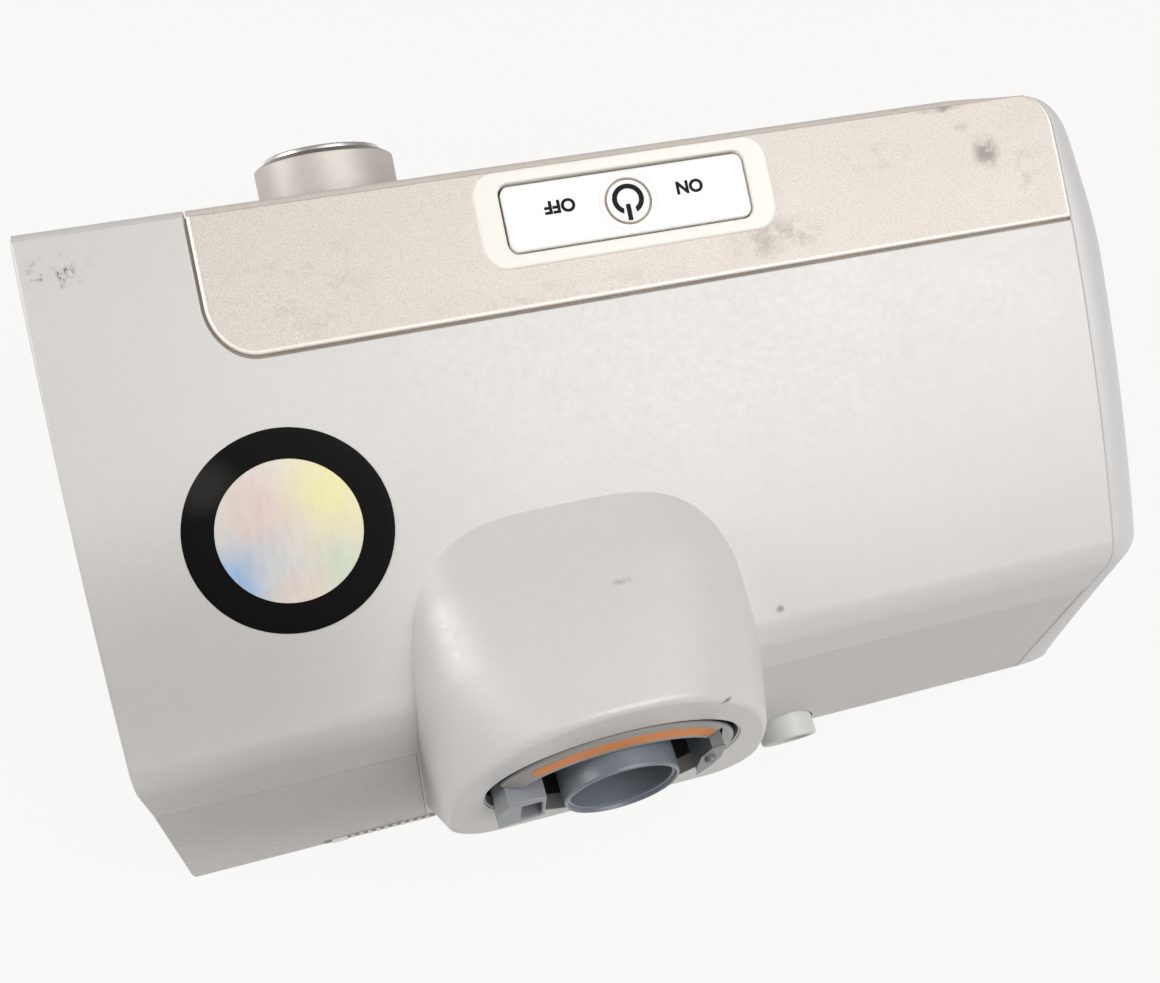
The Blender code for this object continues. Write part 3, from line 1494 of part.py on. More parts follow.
build_upper_case()
build_top_strip()
build_button_surround()
build_start_button()
build_button_board()
build_lower_case()
build_fasteners()
build_side_panel()
build_side_cover("card_cover", card_middle, card_size)
build_side_cover("filter_cover", filter_middle, filter_size, vent_count)
build_card_socket()
build_filter()
build_front_fascia()
build_screen()
build_dial()
build_home_button()
build_outlet()
build_outlet_elbow()
build_bay_liner()
build_heater()
build_port_seals()
build_blower()
build_blower_mounts()
build_blower_pipe()
build_inside()
build_inlet()
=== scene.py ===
"""Looks of the bedside air pump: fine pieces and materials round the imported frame.

Metres, +Z up, in the frame of the CAD model. Pieces follow the CAD sizes, with finer
steps, rounded edges, and procedural materials.
"""

import math

import bmesh
import bpy
from mathutils import Matrix, Vector


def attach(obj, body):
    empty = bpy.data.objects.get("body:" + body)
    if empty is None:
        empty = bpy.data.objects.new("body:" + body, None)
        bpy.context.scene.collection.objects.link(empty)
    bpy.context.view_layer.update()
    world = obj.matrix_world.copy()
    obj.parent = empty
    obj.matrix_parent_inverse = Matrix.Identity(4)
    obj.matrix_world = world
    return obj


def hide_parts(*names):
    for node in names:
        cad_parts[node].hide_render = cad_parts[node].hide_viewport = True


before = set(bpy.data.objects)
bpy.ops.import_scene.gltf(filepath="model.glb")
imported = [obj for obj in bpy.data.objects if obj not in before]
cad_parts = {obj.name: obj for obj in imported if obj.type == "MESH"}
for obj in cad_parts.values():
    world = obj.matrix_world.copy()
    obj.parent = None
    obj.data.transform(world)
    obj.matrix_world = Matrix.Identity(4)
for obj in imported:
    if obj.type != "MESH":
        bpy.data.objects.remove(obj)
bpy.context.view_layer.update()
scene = bpy.context.scene

# Sizes of the shell, as in the CAD model
WIDTH, DEPTH, HEIGHT = 0.205, 0.150, 0.116
END_X = WIDTH / 2
FRONT_REACH, TOP_RUN = 0.054, 0.0763
GRADE, CROWN = 0.549, 0.4125
BEND, HEEL, TOE = 0.009, 0.005, 0.006
LEAN = math.radians(39)
BROW, TUCK = 0.022, 0.090
FOOT, SEAM, FASCIA_LOW = 0.0025, 0.046, 0.020
CASE_WALL, BASE_WALL = 0.0030, 0.0026
BULGE, BULGE_ROUND = 0.0094, 0.0080
WRAP, WRAP_ROUND, WRAP_POWER, WRAP_FADE, WRAP_LOW = 0.0060, 0.0110, 0.33, 0.025, 0.025
GAP, SLIT = 0.0003, 0.00003
SIDE_X = BULGE - END_X
HOOD_X = END_X - 0.0015
STRIP_END = SIDE_X + 0.1658
STRIP_RUN, STRIP_CORNER, STRIP_THICK = 0.0216, 0.0080, 0.0013
EDGE_Y = FRONT_REACH - DEPTH / 2
FACE_Y = -DEPTH / 2
WALL_Y = EDGE_Y + TOP_RUN
MOUTH_Y = EDGE_Y + 0.0911
BASE_TOP = FOOT + BASE_WALL
SIN, COS = math.sin(LEAN), math.cos(LEAN)
KNEE = HEIGHT - (FRONT_REACH - BROW * (1 - COS)) * COS / SIN
WIDEST = KNEE - BROW * SIN
BUTTON = (-0.0043, 0.0077)
HUMP_X, HUMP_HALF, HUMP_FLARE = 0.0184, 0.0310, 0.0027
HUMP_RISE, HUMP_CLIMB, HUMP_MID = 0.0353, 0.0012, 0.0457
HUMP_LOW, HUMP_ROOT_LOW = 0.0335, 0.0100
HUMP_CORNER, ROOT_CORNER = 0.0100, 0.0050
MOUTH_POWER, ROOT_POWER, SQUARE_RUN = 2.1, 3.7, 0.028
ROOT_Y = EDGE_Y + 0.047
HUMP_WALL, LIP = 0.0024, 0.0012
OVAL_Z, OVAL_W, OVAL_H = 0.0546, 0.0242, 0.0168
TUBE_Z, TUBE_R = 0.0562, 0.0109
RIM, PANEL_WALL = 0.00064, 0.0026
FASCIA_TOP = CASE_WALL / COS + GAP
FRONT_AXIS = Vector((0, -COS, SIN))

# Middles on the leaning front, sizes with corners of the start button, and how far cutters run over
DIAL, HOME, SCREEN = (0.0473, 0.0244), (0.0473, 0.0500), (-0.0260, 0.0350)
SURROUND_HOLE = ((0.0560, 0.0153), 0.0040)
SURROUND = ((0.0562, 0.0154), 0.0040)
PLATE_HOLE = ((0.0470, 0.0111), 0.0019)
PLATE = ((0.0463, 0.0104), 0.0016)
OVER, DEEP = 0.004, 0.007


# Colour and node helpers
def rgb(red, green, blue):
    def linear(value):
        value /= 255
        return value / 12.92 if value <= 0.04045 else ((value + 0.055) / 1.055) ** 2.4
    return (linear(red), linear(green), linear(blue), 1.0)


class Nodes:
    """Short hand for building a material's nodes."""

    def __init__(self, name):
        self.material = bpy.data.materials.new(name)
        self.material.use_nodes = True
        self.tree = self.material.node_tree
        self.shader = self.tree.nodes["Principled BSDF"]
        self.coords = self.tree.nodes.new("ShaderNodeTexCoord").outputs["Object"]

    def add(self, kind, inputs=(), output=0, **settings):
        node = self.tree.nodes.new("ShaderNode" + kind)
        for key, value in settings.items():
            setattr(node, key, value)
        for key, value in dict(inputs).items():
            if isinstance(value, bpy.types.NodeSocket):
                self.tree.links.new(value, node.inputs[key])
            else:
                node.inputs[key].default_value = value
        return node.outputs[output]

    def math(self, operation, first, second):
        return self.add("Math", {0: first, 1: second}, operation=operation)

    def noise(self, scale, detail=3.0, rough=0.6, distortion=0.0, coords=None):
        return self.add("TexNoise", {"Vector": coords or self.coords, "Scale": scale, "Detail": detail,
                                     "Roughness": rough, "Distortion": distortion})

    def remap(self, value, low, high, to_low=0.0, to_high=1.0, smooth=False):
        kind = "SMOOTHSTEP" if smooth else "LINEAR"
        return self.add("MapRange", {0: value, 1: low, 2: high, 3: to_low, 4: to_high},
                        interpolation_type=kind)

    def mix(self, factor, first, second, blend="MIX"):
        node = self.tree.nodes.new("ShaderNodeMix")
        node.data_type = "RGBA"
        node.blend_type = blend
        for socket, value in ((node.inputs[0], factor), (node.inputs[6], first), (node.inputs[7], second)):
            if isinstance(value, bpy.types.NodeSocket):
                self.tree.links.new(value, socket)
            else:
                socket.default_value = value
        return node.outputs[2]

    def vector(self, operation, first, second):
        return self.add("VectorMath", {0: first, 1: second}, operation=operation)

    def length(self, value):
        return self.add("VectorMath", {0: value}, output=1, operation="LENGTH")

    def toned(self, colour, tone):
        """A colour made lighter or darker by a number."""
        grey = self.add("CombineColor", {0: tone, 1: tone, 2: tone})
        return self.mix(1.0, colour, grey, "MULTIPLY")

    def spots(self, base, colour, places, ragged, core, width):
        """Ragged soft spots of a colour, each with its centre, size, amount and cover."""
        total = None
        for centre, size, amount, cover in places:
            away = self.vector("DIVIDE", self.vector("SUBTRACT", self.coords, centre), size)
            patch = self.remap(self.length(away), 1.0, core, smooth=True)
            spot = self.math("MULTIPLY", patch, self.remap(ragged, cover, cover + width, 0, amount))
            total = spot if total is None else self.math("MAXIMUM", total, spot)
        return self.mix(total, base, rgb(*colour))

    def bump(self, height, strength, distance):
        return self.add("Bump", {"Height": height, "Strength": strength, "Distance": distance})

    def finish(self, colour, metal, rough, normal=None, coat=None):
        """Fill the shader's own sockets and hand back the material."""
        values = {"Base Color": colour, "Metallic": metal, "Roughness": rough, "Normal": normal}
        if coat:
            values["Coat Weight"], values["Coat Roughness"] = coat
        for name, value in values.items():
            if isinstance(value, bpy.types.NodeSocket):
                self.tree.links.new(value, self.shader.inputs[name])
            elif value is not None:
                self.shader.inputs[name].default_value = value
        return self.material


def moulded(name, colour, rough=0.45, metal=0.0, grain=900.0, depth=0.00003, speck=0.05,
            mottle=0.03, coat=0.0, dirt_and_shade=(), dirt_and_shade_colour=(96, 84, 72)):
    """Moulded or painted surface: cloudy tone, fine speckle, grain in the bump, and darker spots, which are
    dirt and, on the shell and base, also painted shade.
    """
    n = Nodes(name)
    cloud = n.remap(n.noise(38.0, 4.0), 0.3, 0.7, 1.0 - mottle, 1.0 + mottle)
    fine = n.remap(n.noise(grain * 2.4, 2.0, 0.7), 0.32, 0.68, 1.0 - speck, 1.0 + speck)
    base = n.toned(rgb(*colour), n.math("MULTIPLY", cloud, fine))
    if dirt_and_shade:
        base = n.spots(base, dirt_and_shade_colour, dirt_and_shade, n.noise(420.0, 6.0, 0.75), 0.2, 0.12)
    gloss = n.remap(n.noise(grain * 0.5, 3.0), 0.3, 0.7, rough - 0.05, rough + 0.06)
    normal = n.bump(n.noise(grain, 3.0, 0.6), 0.5, depth)
    return n.finish(base, metal, gloss, normal, (coat, 0.35) if coat else None)


def satin_shell(name, colour, dirt_and_shade=()):
    # Shell and base spots take the colour (92, 80, 74), for dirt spots and for painted shade alike.
    return moulded(name, colour, 0.46, 0.12, 1500.0, 0.000022, 0.045, 0.018, 0.0, dirt_and_shade, (92, 80, 74))


def brushed(name, colour, rough=0.3, stretch=(1.0, 1.0, 40.0), scale=300.0):
    """Metal with fine lines drawn along one way."""
    n = Nodes(name)
    lines = n.noise(scale, 4.0, 0.65, 0.0, n.vector("MULTIPLY", n.coords, stretch))
    base = n.toned(rgb(*colour), n.remap(lines, 0.3, 0.7, 0.82, 1.12))
    return n.finish(base, 1.0, n.remap(lines, 0.3, 0.7, rough - 0.07, rough + 0.1),
                    n.bump(lines, 0.25, 0.00003))


def spun(name, colour, rough, metal=0.85):
    """Turned metal with cloudy streaks and fine grain."""
    n = Nodes(name)
    streaks = n.noise(60.0, 5.0, 0.7, 1.2)
    fine = n.noise(2600.0, 2.0, 0.6)
    tone = n.remap(n.math("ADD", streaks, n.math("MULTIPLY", fine, 0.4)), 0.4, 1.0, 0.86, 1.08)
    return n.finish(n.toned(rgb(*colour), tone), metal,
                    n.remap(fine, 0.3, 0.7, rough - 0.06, rough + 0.08), n.bump(fine, 0.3, 0.00002))


def glossy_black(name):
    n = Nodes(name)
    dust = n.remap(n.noise(1400.0, 2.0, 0.5), 0.70, 0.78, 0.0, 0.25)
    gloss = n.remap(n.noise(30.0, 4.0), 0.3, 0.7, 0.05, 0.12)
    return n.finish(n.mix(dust, rgb(14, 15, 17), rgb(70, 72, 75)), None, gloss, None, (0.5, 0.04))


def pearl(name, centre):
    """Foil whose pale tints drift over the disc, with faint crossing scratches."""
    n = Nodes(name)
    waves = n.add("TexNoise", {"Vector": n.coords, "Scale": 140.0, "Detail": 2.0}, output=1)
    drift = n.vector("MULTIPLY", n.vector("SUBTRACT", waves, (0.5, 0.5, 0.5)), (0.006, 0.006, 0.0))
    place = n.vector("ADD", n.vector("SUBTRACT", n.coords, centre), drift)
    warm = n.remap(n.noise(260.0, 3.0), 0.35, 0.65, 0.0, 0.5)
    base = n.mix(warm, rgb(226, 218, 204), rgb(220, 214, 212))
    tints = (((-0.0085, -0.0050, 0.0), 0.0120, 0.8, (234, 228, 160)),
             ((0.0046, -0.0036, 0.0), 0.0095, 0.6, (226, 194, 190)),
             ((0.0106, 0.0057, 0.0), 0.0095, 0.9, (150, 186, 226)),
             ((-0.0068, 0.0066, 0.0), 0.0070, 0.7, (200, 218, 190)),
             ((0.0030, 0.0040, 0.0), 0.0060, 0.5, (204, 210, 216)),
             ((-0.0005, 0.0088, 0.0), 0.0055, 0.6, (230, 210, 200)))
    for middle, reach, amount, tint in tints:
        away = n.vector("MULTIPLY", n.vector("SUBTRACT", place, middle), (1.0, 1.0, 0.0))
        patch = n.remap(n.length(away), reach, 0.0, 0.0, amount, smooth=True)
        base = n.mix(patch, base, rgb(*tint))
    streaks = n.noise(900.0, 3.0, 0.7, 0.0, n.vector("MULTIPLY", n.coords, (1.0, 0.25, 0.25)))
    base = n.toned(base, n.remap(streaks, 0.3, 0.7, 0.965, 1.03))
    return n.finish(base, 0.20, n.remap(streaks, 0.3, 0.7, 0.28, 0.42), n.bump(streaks, 0.2, 0.00002))


def champagne(name):
    """Sprayed pale metal paint with dense speckle and worn smudges."""
    n = Nodes(name)
    speck = n.remap(n.noise(5000.0, 2.0, 0.8), 0.36, 0.60, 0.0, 1.0)
    cloud = n.noise(60.0, 5.0, 0.65)
    base = n.mix(speck, rgb(200, 191, 183), rgb(231, 222, 213))
    base = n.mix(n.remap(cloud, 0.42, 0.72, 0.0, 0.30), base, rgb(222, 210, 200))
    spots = (((-0.0775, -0.0122, 0.1112), (0.0040, 0.0045, 0.006), 0.70, 0.40),
             ((-0.0700, -0.0206, 0.1156), (0.0070, 0.0008, 0.002), 0.75, 0.40),
             ((-0.0735, -0.0172, 0.1130), (0.0022, 0.0012, 0.003), 0.50, 0.44),
             ((-0.0532, -0.0144, 0.1122), (0.0110, 0.0034, 0.006), 0.32, 0.46),
             ((-0.0309, -0.0039, 0.1059), (0.0140, 0.0045, 0.007), 0.42, 0.44),
             ((0.0060, -0.0010, 0.1040), (0.0450, 0.0030, 0.006), 0.24, 0.48),
             ((-0.0860, -0.0100, 0.1100), (0.0060, 0.0130, 0.020), 0.20, 0.46),
             ((0.0560, -0.0080, 0.1080), (0.0200, 0.0140, 0.020), 0.20, 0.50))
    base = n.spots(base, (120, 110, 102), spots, n.noise(300.0, 6.0, 0.7), 0.15, 0.18)
    return n.finish(base, 0.10, n.remap(cloud, 0.3, 0.7, 0.44, 0.54),
                    n.bump(n.noise(1900.0, 3.0, 0.7), 0.6, 0.000035))


def dim(material, level):
    """Give a material a fainter gloss."""
    material.node_tree.nodes["Principled BSDF"].inputs["Specular IOR Level"].default_value = level
    return material


# Materials
# Darker spots on the shell: small dirt spots, a ragged darker patch on the back wall beside the hump, and two
# broad soft patches of painted shade over the lower left of the crown, the bend and the back wall.
shell_dirt_and_shade = (((0.0950, -0.0158, 0.1130), (0.0068, 0.0042, 0.004), 1.0, 0.555),
              ((-0.0198, 0.0511, 0.0637), (0.0012, 0.0010, 0.001), 0.6, 0.3),
              ((0.0125, 0.0471, 0.0816), (0.0026, 0.0009, 0.002), 0.35, 0.35),
              ((0.0002, 0.0696, 0.0739), (0.0019, 0.0008, 0.0008), 1.0, 0.30),
              ((0.0500, 0.0553, 0.0420), (0.0200, 0.0050, 0.0100), 0.45, 0.60),
              # Painted shade: the next two broad soft patches, nearly full over their reach.
              ((0.0850, 0.0380, 0.0680), (0.0500, 0.0340, 0.0400), 0.22, 0.05),
              ((0.0720, 0.0560, 0.0480), (0.0560, 0.0120, 0.0300), 0.30, 0.05),
              ((0.0992, 0.0560, 0.0560), (0.0040, 0.0050, 0.0050), 0.35, 0.52))
shell_paint = satin_shell("satin_shell", (215, 212, 208), shell_dirt_and_shade)
side_dirt = (((-0.0961, -0.0114, 0.1105), (0.0008, 0.0008, 0.0008), 0.8, 0.2),)
side_paint = satin_shell("satin_side", (213, 211, 209), side_dirt)
# Darker spots on the base: a ragged darker band along the foot of the back wall, then a broad soft patch of
# painted shade on the back wall at the lower left.
base_dirt_and_shade = (((0.0560, 0.0553, 0.0080), (0.0250, 0.0040, 0.0045), 0.5, 0.52),
             ((0.0720, 0.0560, 0.0400), (0.0560, 0.0120, 0.0400), 0.30, 0.05))
base_paint = satin_shell("satin_base", (208, 204, 200), base_dirt_and_shade)
strip_paint = champagne("strip_paint")
# A lighter copy of the strip paint for its bevelled rim: painted highlight.
strip_rim_highlight = moulded("strip_rim_highlight", (250, 243, 234), 0.30, 0.10, 1500.0, 0.00001, 0.02, 0.02, 0.2)
cream = moulded("cream_frame", (247, 242, 234), 0.42, 0.0, 1400.0, 0.00001, 0.012, 0.012)
plate_white = moulded("plate_white", (248, 247, 244), 0.34, 0.0, 1300.0, 0.00001, 0.008, 0.01, 0.15)
ring_white = moulded("ring_white", (236, 230, 220), 0.36, 0.0, 1300.0, 0.00001, 0.03, 0.03,
                     0.1, (((-0.0043, -0.0133, 0.1116), (0.0056, 0.0056, 0.006), 0.4, 0.52),), (150, 118, 84))
ink = dim(moulded("ink", (14, 14, 17), 0.5, 0.0, 2000.0, 0.00001, 0.05, 0.05), 0.15)
ring_brown = moulded("ring_brown", (174, 154, 136), 0.5, 0.0, 2600.0, 0.00002, 0.35, 0.20)
# Dark brown for the thin band in the recess round the strip: painted shade.
gap_painted_shade = moulded("gap_painted_shade", (142, 131, 121), 0.6, 0.0, 1500.0, 0.00003, 0.20, 0.20)
insert_paint = moulded("insert_grey", (150, 147, 143), 0.42, 0.05, 1300.0, 0.00002, 0.03, 0.03, 0.1)
# Near black for the inside of the outlet insert, back from its mouth: painted shade.
well_painted_shade = moulded("insert_well_shade", (38, 39, 41), 0.5, 0.0, 1300.0, 0.00002, 0.03, 0.03)
tube_paint = moulded("tube_slate", (116, 122, 130), 0.34, 0.05, 1500.0, 0.00001, 0.02, 0.04, 0.25)
block_paint = moulded("block_grey", (134, 137, 141), 0.36, 0.05, 1500.0, 0.00001, 0.02, 0.03, 0.2)
latch_paint = moulded("latch_grey", (118, 119, 121), 0.36, 0.05, 1500.0, 0.00001, 0.02, 0.03, 0.2)
copper = moulded("copper_band", (206, 132, 80), 0.42, 0.12, 1600.0, 0.00001, 0.03, 0.03)
collar_paint = moulded("collar_grey", (206, 208, 202), 0.4, 0.0, 1400.0, 0.00001, 0.02, 0.02, 0.1)
fascia_paint = moulded("fascia_dark", (44, 45, 48), 0.34, 0.0, 1300.0, 0.00002, 0.04, 0.04, 0.2)
lens_black = glossy_black("lens_black")
dial_side = spun("dial_side", (214, 206, 198), 0.5, 0.25)
# A darker copy of the knob's metal for its shoulder under the front ring: painted shade.
dial_painted_shade = spun("dial_painted_shade", (152, 146, 140), 0.4)
dial_bright = spun("dial_bright", (226, 222, 217), 0.32)
rubber = moulded("rubber_black", (38, 38, 39), 0.78, 0.0, 900.0, 0.00005, 0.1, 0.08)
vent_grey = moulded("vent_grey", (158, 152, 145), 0.6, 0.0, 1500.0, 0.00001, 0.05, 0.05)
silicone = moulded("silicone_grey", (168, 172, 175), 0.55, 0.0, 700.0, 0.00002, 0.03, 0.05)
liner_paint = moulded("liner_grey", (150, 152, 155), 0.46, 0.0, 1100.0, 0.00003, 0.03, 0.03)
board_green = moulded("board_green", (28, 104, 66), 0.45, 0.0, 500.0, 0.00003, 0.16, 0.08, 0.2)
board_black = moulded("board_black", (40, 40, 42), 0.5, 0.0, 900.0, 0.00002, 0.06, 0.05)
foam = moulded("foam_grey", (92, 92, 95), 0.95, 0.0, 420.0, 0.0004, 0.28, 0.08)
filter_felt = moulded("filter_felt", (226, 229, 232), 0.92, 0.0, 500.0, 0.0003, 0.10, 0.04)
steel = brushed("steel_drawn", (176, 176, 178), 0.32)
heater_steel = brushed("heater_rolled", (196, 197, 199), 0.28, (1.0, 30.0, 1.0), 260.0)
brass = brushed("brass_pin", (202, 172, 104), 0.3)
sticker_wear = (((0.0543, 0.0372, 0.0772), (0.0022, 0.0012, 0.002), 0.9, 0.50),
                ((0.0790, 0.0165, 0.0908), (0.0080, 0.0070, 0.006), 0.05, 0.20))
sticker_black = dim(moulded("sticker_black", (5, 5, 6), 0.6, 0.0, 1500.0, 0.00001, 0.1, 0.1, 0.1,
                            sticker_wear, (176, 170, 164)), 0.06)
sticker_foil = pearl("sticker_foil", (0.0663, 0.0255, 0.0852))


# Mesh helpers
def add_object(name, bm):
    bmesh.ops.recalc_face_normals(bm, faces=bm.faces)
    mesh = bpy.data.meshes.new(name)
    bm.to_mesh(mesh)
    bm.free()
    obj = bpy.data.objects.new(name, mesh)
    scene.collection.objects.link(obj)
    return obj


def skin(bm, rows, closed):
    pairs = list(zip(rows, rows[1:]))
    if closed:
        pairs.append((rows[-1], rows[0]))
    for row, following in pairs:
        count = max(len(row), len(following))
        for index in range(count):
            after = (index + 1) % count
            if len(row) == 1:
                bm.faces.new((row[0], following[after], following[index]))
            elif len(following) == 1:
                bm.faces.new((row[index], row[after], following[0]))
            else:
                bm.faces.new((row[index], row[after], following[after], following[index]))


def loft(name, rings, closed=False):
    """A skin over rings of equal count: capped at both ends, or joined end to end."""
    bm = bmesh.new()
    rows = [[bm.verts.new(point) for point in ring] for ring in rings]
    skin(bm, rows, closed)
    if not closed:
        bm.faces.new(rows[0])
        bm.faces.new(rows[-1])
    bm.normal_update()
    bmesh.ops.triangulate(bm, faces=[face for face in bm.faces if len(face.verts) > 4])
    return add_object(name, bm)


def turned(name, profile, place, segments=96, closed=False):
    """A turned solid: profile of (radius, height) about Z."""
    bm = bmesh.new()
    rows = []
    for radius, height in profile:
        row = []
        for index in range(segments if radius else 1):
            angle = 2 * math.pi * index / segments
            point = Vector((radius * math.cos(angle), radius * math.sin(angle), height))
            row.append(bm.verts.new(place @ point))
        rows.append(row)
    skin(bm, rows, closed)
    if not closed:
        for row in (rows[0], rows[-1]):
            if len(row) > 1:
                bm.faces.new(row)
    return add_object(name, bm)


def flat(name, rings):
    """A flat-space solid from outlines, each with its depth, before it is bent in place."""
    return loft(name, [[Vector((a, b, depth)) for a, b in outline] for outline, depth in rings])


def bend(obj, place, cuts=()):
    """Slice a flat-space solid along b, and set every point by place."""
    bm = bmesh.new()
    bm.from_mesh(obj.data)
    for value in cuts:
        everything = bm.verts[:] + bm.edges[:] + bm.faces[:]
        bmesh.ops.bisect_plane(bm, geom=everything, plane_co=(0, value, 0), plane_no=(0, 1, 0))
    if cuts:
        bmesh.ops.triangulate(bm, faces=[face for face in bm.faces if len(face.verts) > 4])
    for vert in bm.verts:
        vert.co = place(vert.co.x, vert.co.y, vert.co.z)
    bmesh.ops.recalc_face_normals(bm, faces=bm.faces)
    bm.to_mesh(obj.data)
    bm.free()
    return obj


def combine(target, other, operation):
    modifier = target.modifiers.new("join", "BOOLEAN")
    modifier.operation = operation
    modifier.solver = "EXACT"
    modifier.object = other
    graph = bpy.context.evaluated_depsgraph_get()
    result = bpy.data.meshes.new_from_object(target.evaluated_get(graph))
    target.modifiers.clear()
    old = target.data
    target.data = result
    bpy.data.meshes.remove(old)
    bpy.data.objects.remove(other, do_unlink=True)
    return target


def cut(target, *others):
    for other in others:
        combine(target, other, "DIFFERENCE")
    return target


def bore(target, radius, low, high, place, segments):
    hole = [(0, low), (radius, low), (radius, high), (0, high)]
    return cut(target, turned("bore", hole, place, segments))


def fuse(target, *others):
    for other in others:
        combine(target, other, "UNION")
    return target


def dress(obj, material, slot, *nodes, body="housing", sharp=38, pivot=None):
    """Give a piece its material, shading and body, and hide the CAD nodes that it stands for. The slot is not
    used.
    """
    obj.data.materials.clear()
    obj.data.materials.append(material)
    if pivot is not None:
        obj.data.transform(Matrix.Translation(-Vector(pivot)))
        obj.location = pivot
    obj.data.shade_smooth()
    obj.data.set_sharp_from_angle(angle=math.radians(sharp))
    modifier = obj.modifiers.new("even", "WEIGHTED_NORMAL")
    modifier.keep_sharp = True
    modifier.weight = 60
    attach(obj, body)
    if nodes:
        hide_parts(*nodes)
    return obj


def tint(obj, material, is_inside):
    """A second material on the polygons whose middles pass a test."""
    obj.data.materials.append(material)
    for polygon in obj.data.polygons:
        if is_inside(polygon.center):
            polygon.material_index = 1


# Outlines
def spread(low, high, steps):
    return [low + (high - low) * index / steps for index in range(steps + 1)]


def rounded_box(middle, size, radius, grow=0.0, steps=10):
    points = []
    for turn, (side, end) in enumerate(((1, 1), (-1, 1), (-1, -1), (1, -1))):
        centre = (middle[0] + side * (size[0] / 2 - radius), middle[1] + end * (size[1] / 2 - radius))
        for step in range(steps + 1):
            angle = (turn + step / steps) * math.pi / 2
            reach = radius + grow
            points.append((centre[0] + reach * math.cos(angle), centre[1] + reach * math.sin(angle)))
    return points


def ellipse(middle, half_width, half_height, count=128):
    return [(middle[0] + half_width * math.cos(2 * math.pi * i / count),
             middle[1] + half_height * math.sin(2 * math.pi * i / count)) for i in range(count)]


def offset_line(points, distance, closed=False):
    """Points moved to the right of their travel, with mitred corners."""
    moved = []
    count = len(points)
    for index, point in enumerate(points):
        pairs = []
        if index or closed:
            pairs.append((points[index - 1], point))
        if index < count - 1 or closed:
            pairs.append((point, points[(index + 1) % count]))
        normals = []
        for first, second in pairs:
            run = math.hypot(second[0] - first[0], second[1] - first[1])
            normals.append(((second[1] - first[1]) / run, (first[0] - second[0]) / run))
        across = [sum(normal[axis] for normal in normals) / len(normals) for axis in (0, 1)]
        square = across[0] ** 2 + across[1] ** 2
        moved.append(tuple(point[axis] + across[axis] / square * distance for axis in (0, 1)))
    return moved


def round_edge(radius, steps=4, high=0.0):
    """Inset and depth pairs of a rounded top edge, from its side up to its flat."""
    return [(radius * (1 - math.cos(angle)), high - radius * (1 - math.sin(angle)))
            for angle in spread(0, math.pi / 2, steps)]


def topped(low, radius, steps=4, high=0.0):
    """Growth and depth pairs of a plate with a rounded top edge."""
    return [(0, low)] + [(-inset, depth) for inset, depth in round_edge(radius, steps, high)]


def through(low, soft=0.0003):
    """Growth and depth pairs of a hole that opens a little toward the surface."""
    return (0, low), (0, -soft), (soft, 0), (soft, OVER)


def slab(name, outline, low, high):
    return flat(name, [(outline, low), (outline, high)])


def box(name, middle, size, corner, steps, turns=10):
    """A flat-space rounded box from growth and depth pairs."""
    return flat(name, [(rounded_box(middle, size, corner, grow, turns), depth) for grow, depth in steps])


# Planes that outlines are set on
def crown_point(run):
    return EDGE_Y + run, HEIGHT - GRADE * run - run * run / CROWN


def crown_normal(run):
    slope = GRADE + 2 * run / CROWN
    length = math.hypot(slope, 1)
    return slope / length, 1 / length


def on_crown(a, b, depth):
    y, z = crown_point(b)
    normal_y, normal_z = crown_normal(b)
    return Vector((a, y + normal_y * depth, z + normal_z * depth))


def on_front(a, b, depth):
    return Vector((a, EDGE_Y - b * SIN - depth * COS, HEIGHT - b * COS + depth * SIN))


def on_side(a, b, depth):
    return Vector((-END_X - depth, a, b))


def on_x(a, b, depth):
    return Vector((depth, a, b))


def on_y(a, b, depth):
    return Vector((a, depth, b))


def arc_to(run):
    slope = GRADE + 2 * run / CROWN
    return CROWN / 4 * (slope * math.hypot(slope, 1) + math.asinh(slope))


def along_crown(a, b, depth):
    """Like on_crown, but b is the length along the curved top from its front edge."""
    goal = b + arc_to(0)
    return on_crown(a, halve(-0.01, TOP_RUN, 34, lambda run: arc_to(run) < goal), depth)


def crown_length(run):
    return arc_to(run) - arc_to(0)


def halve(low, high, rounds, is_before):
    """Close in on the place where a test stops being true."""
    for _ in range(rounds):
        middle = (low + high) / 2
        if is_before(middle):
            low = middle
        else:
            high = middle
    return middle


def frame_on(point, direction):
    turn = Vector(direction).to_track_quat("Z", "Y").to_matrix().to_4x4()
    return Matrix.Translation(point) @ turn


def bend_centre(run):
    """Middle of the rounding between top and wall, if it starts at this place on the top."""
    y, z = crown_point(run)
    normal_y, normal_z = crown_normal(run)
    return y - normal_y * BEND, z - normal_z * BEND


# Side profile of the shell
bend_start = halve(0, TOP_RUN, 60, lambda run: bend_centre(run)[0] < WALL_Y - BEND)
bend_y, bend_z = bend_centre(bend_start)


def crown_line():
    return [crown_point(run) for run in spread(0.0, bend_start, 44)]


def bend_line():
    normal_y, normal_z = crown_normal(bend_start)
    return [(bend_y + BEND * math.cos(angle), bend_z + BEND * math.sin(angle))
            for angle in spread(math.atan2(normal_z, normal_y), 0, 14)[1:]]


def front_y(z):
    if z >= KNEE:
        return EDGE_Y - (HEIGHT - z) * SIN / COS
    if z >= WIDEST:
        return FACE_Y + BROW - math.sqrt(BROW ** 2 - (z - WIDEST) ** 2)
    return FACE_Y + TUCK - math.sqrt(TUCK ** 2 - (WIDEST - z) ** 2)


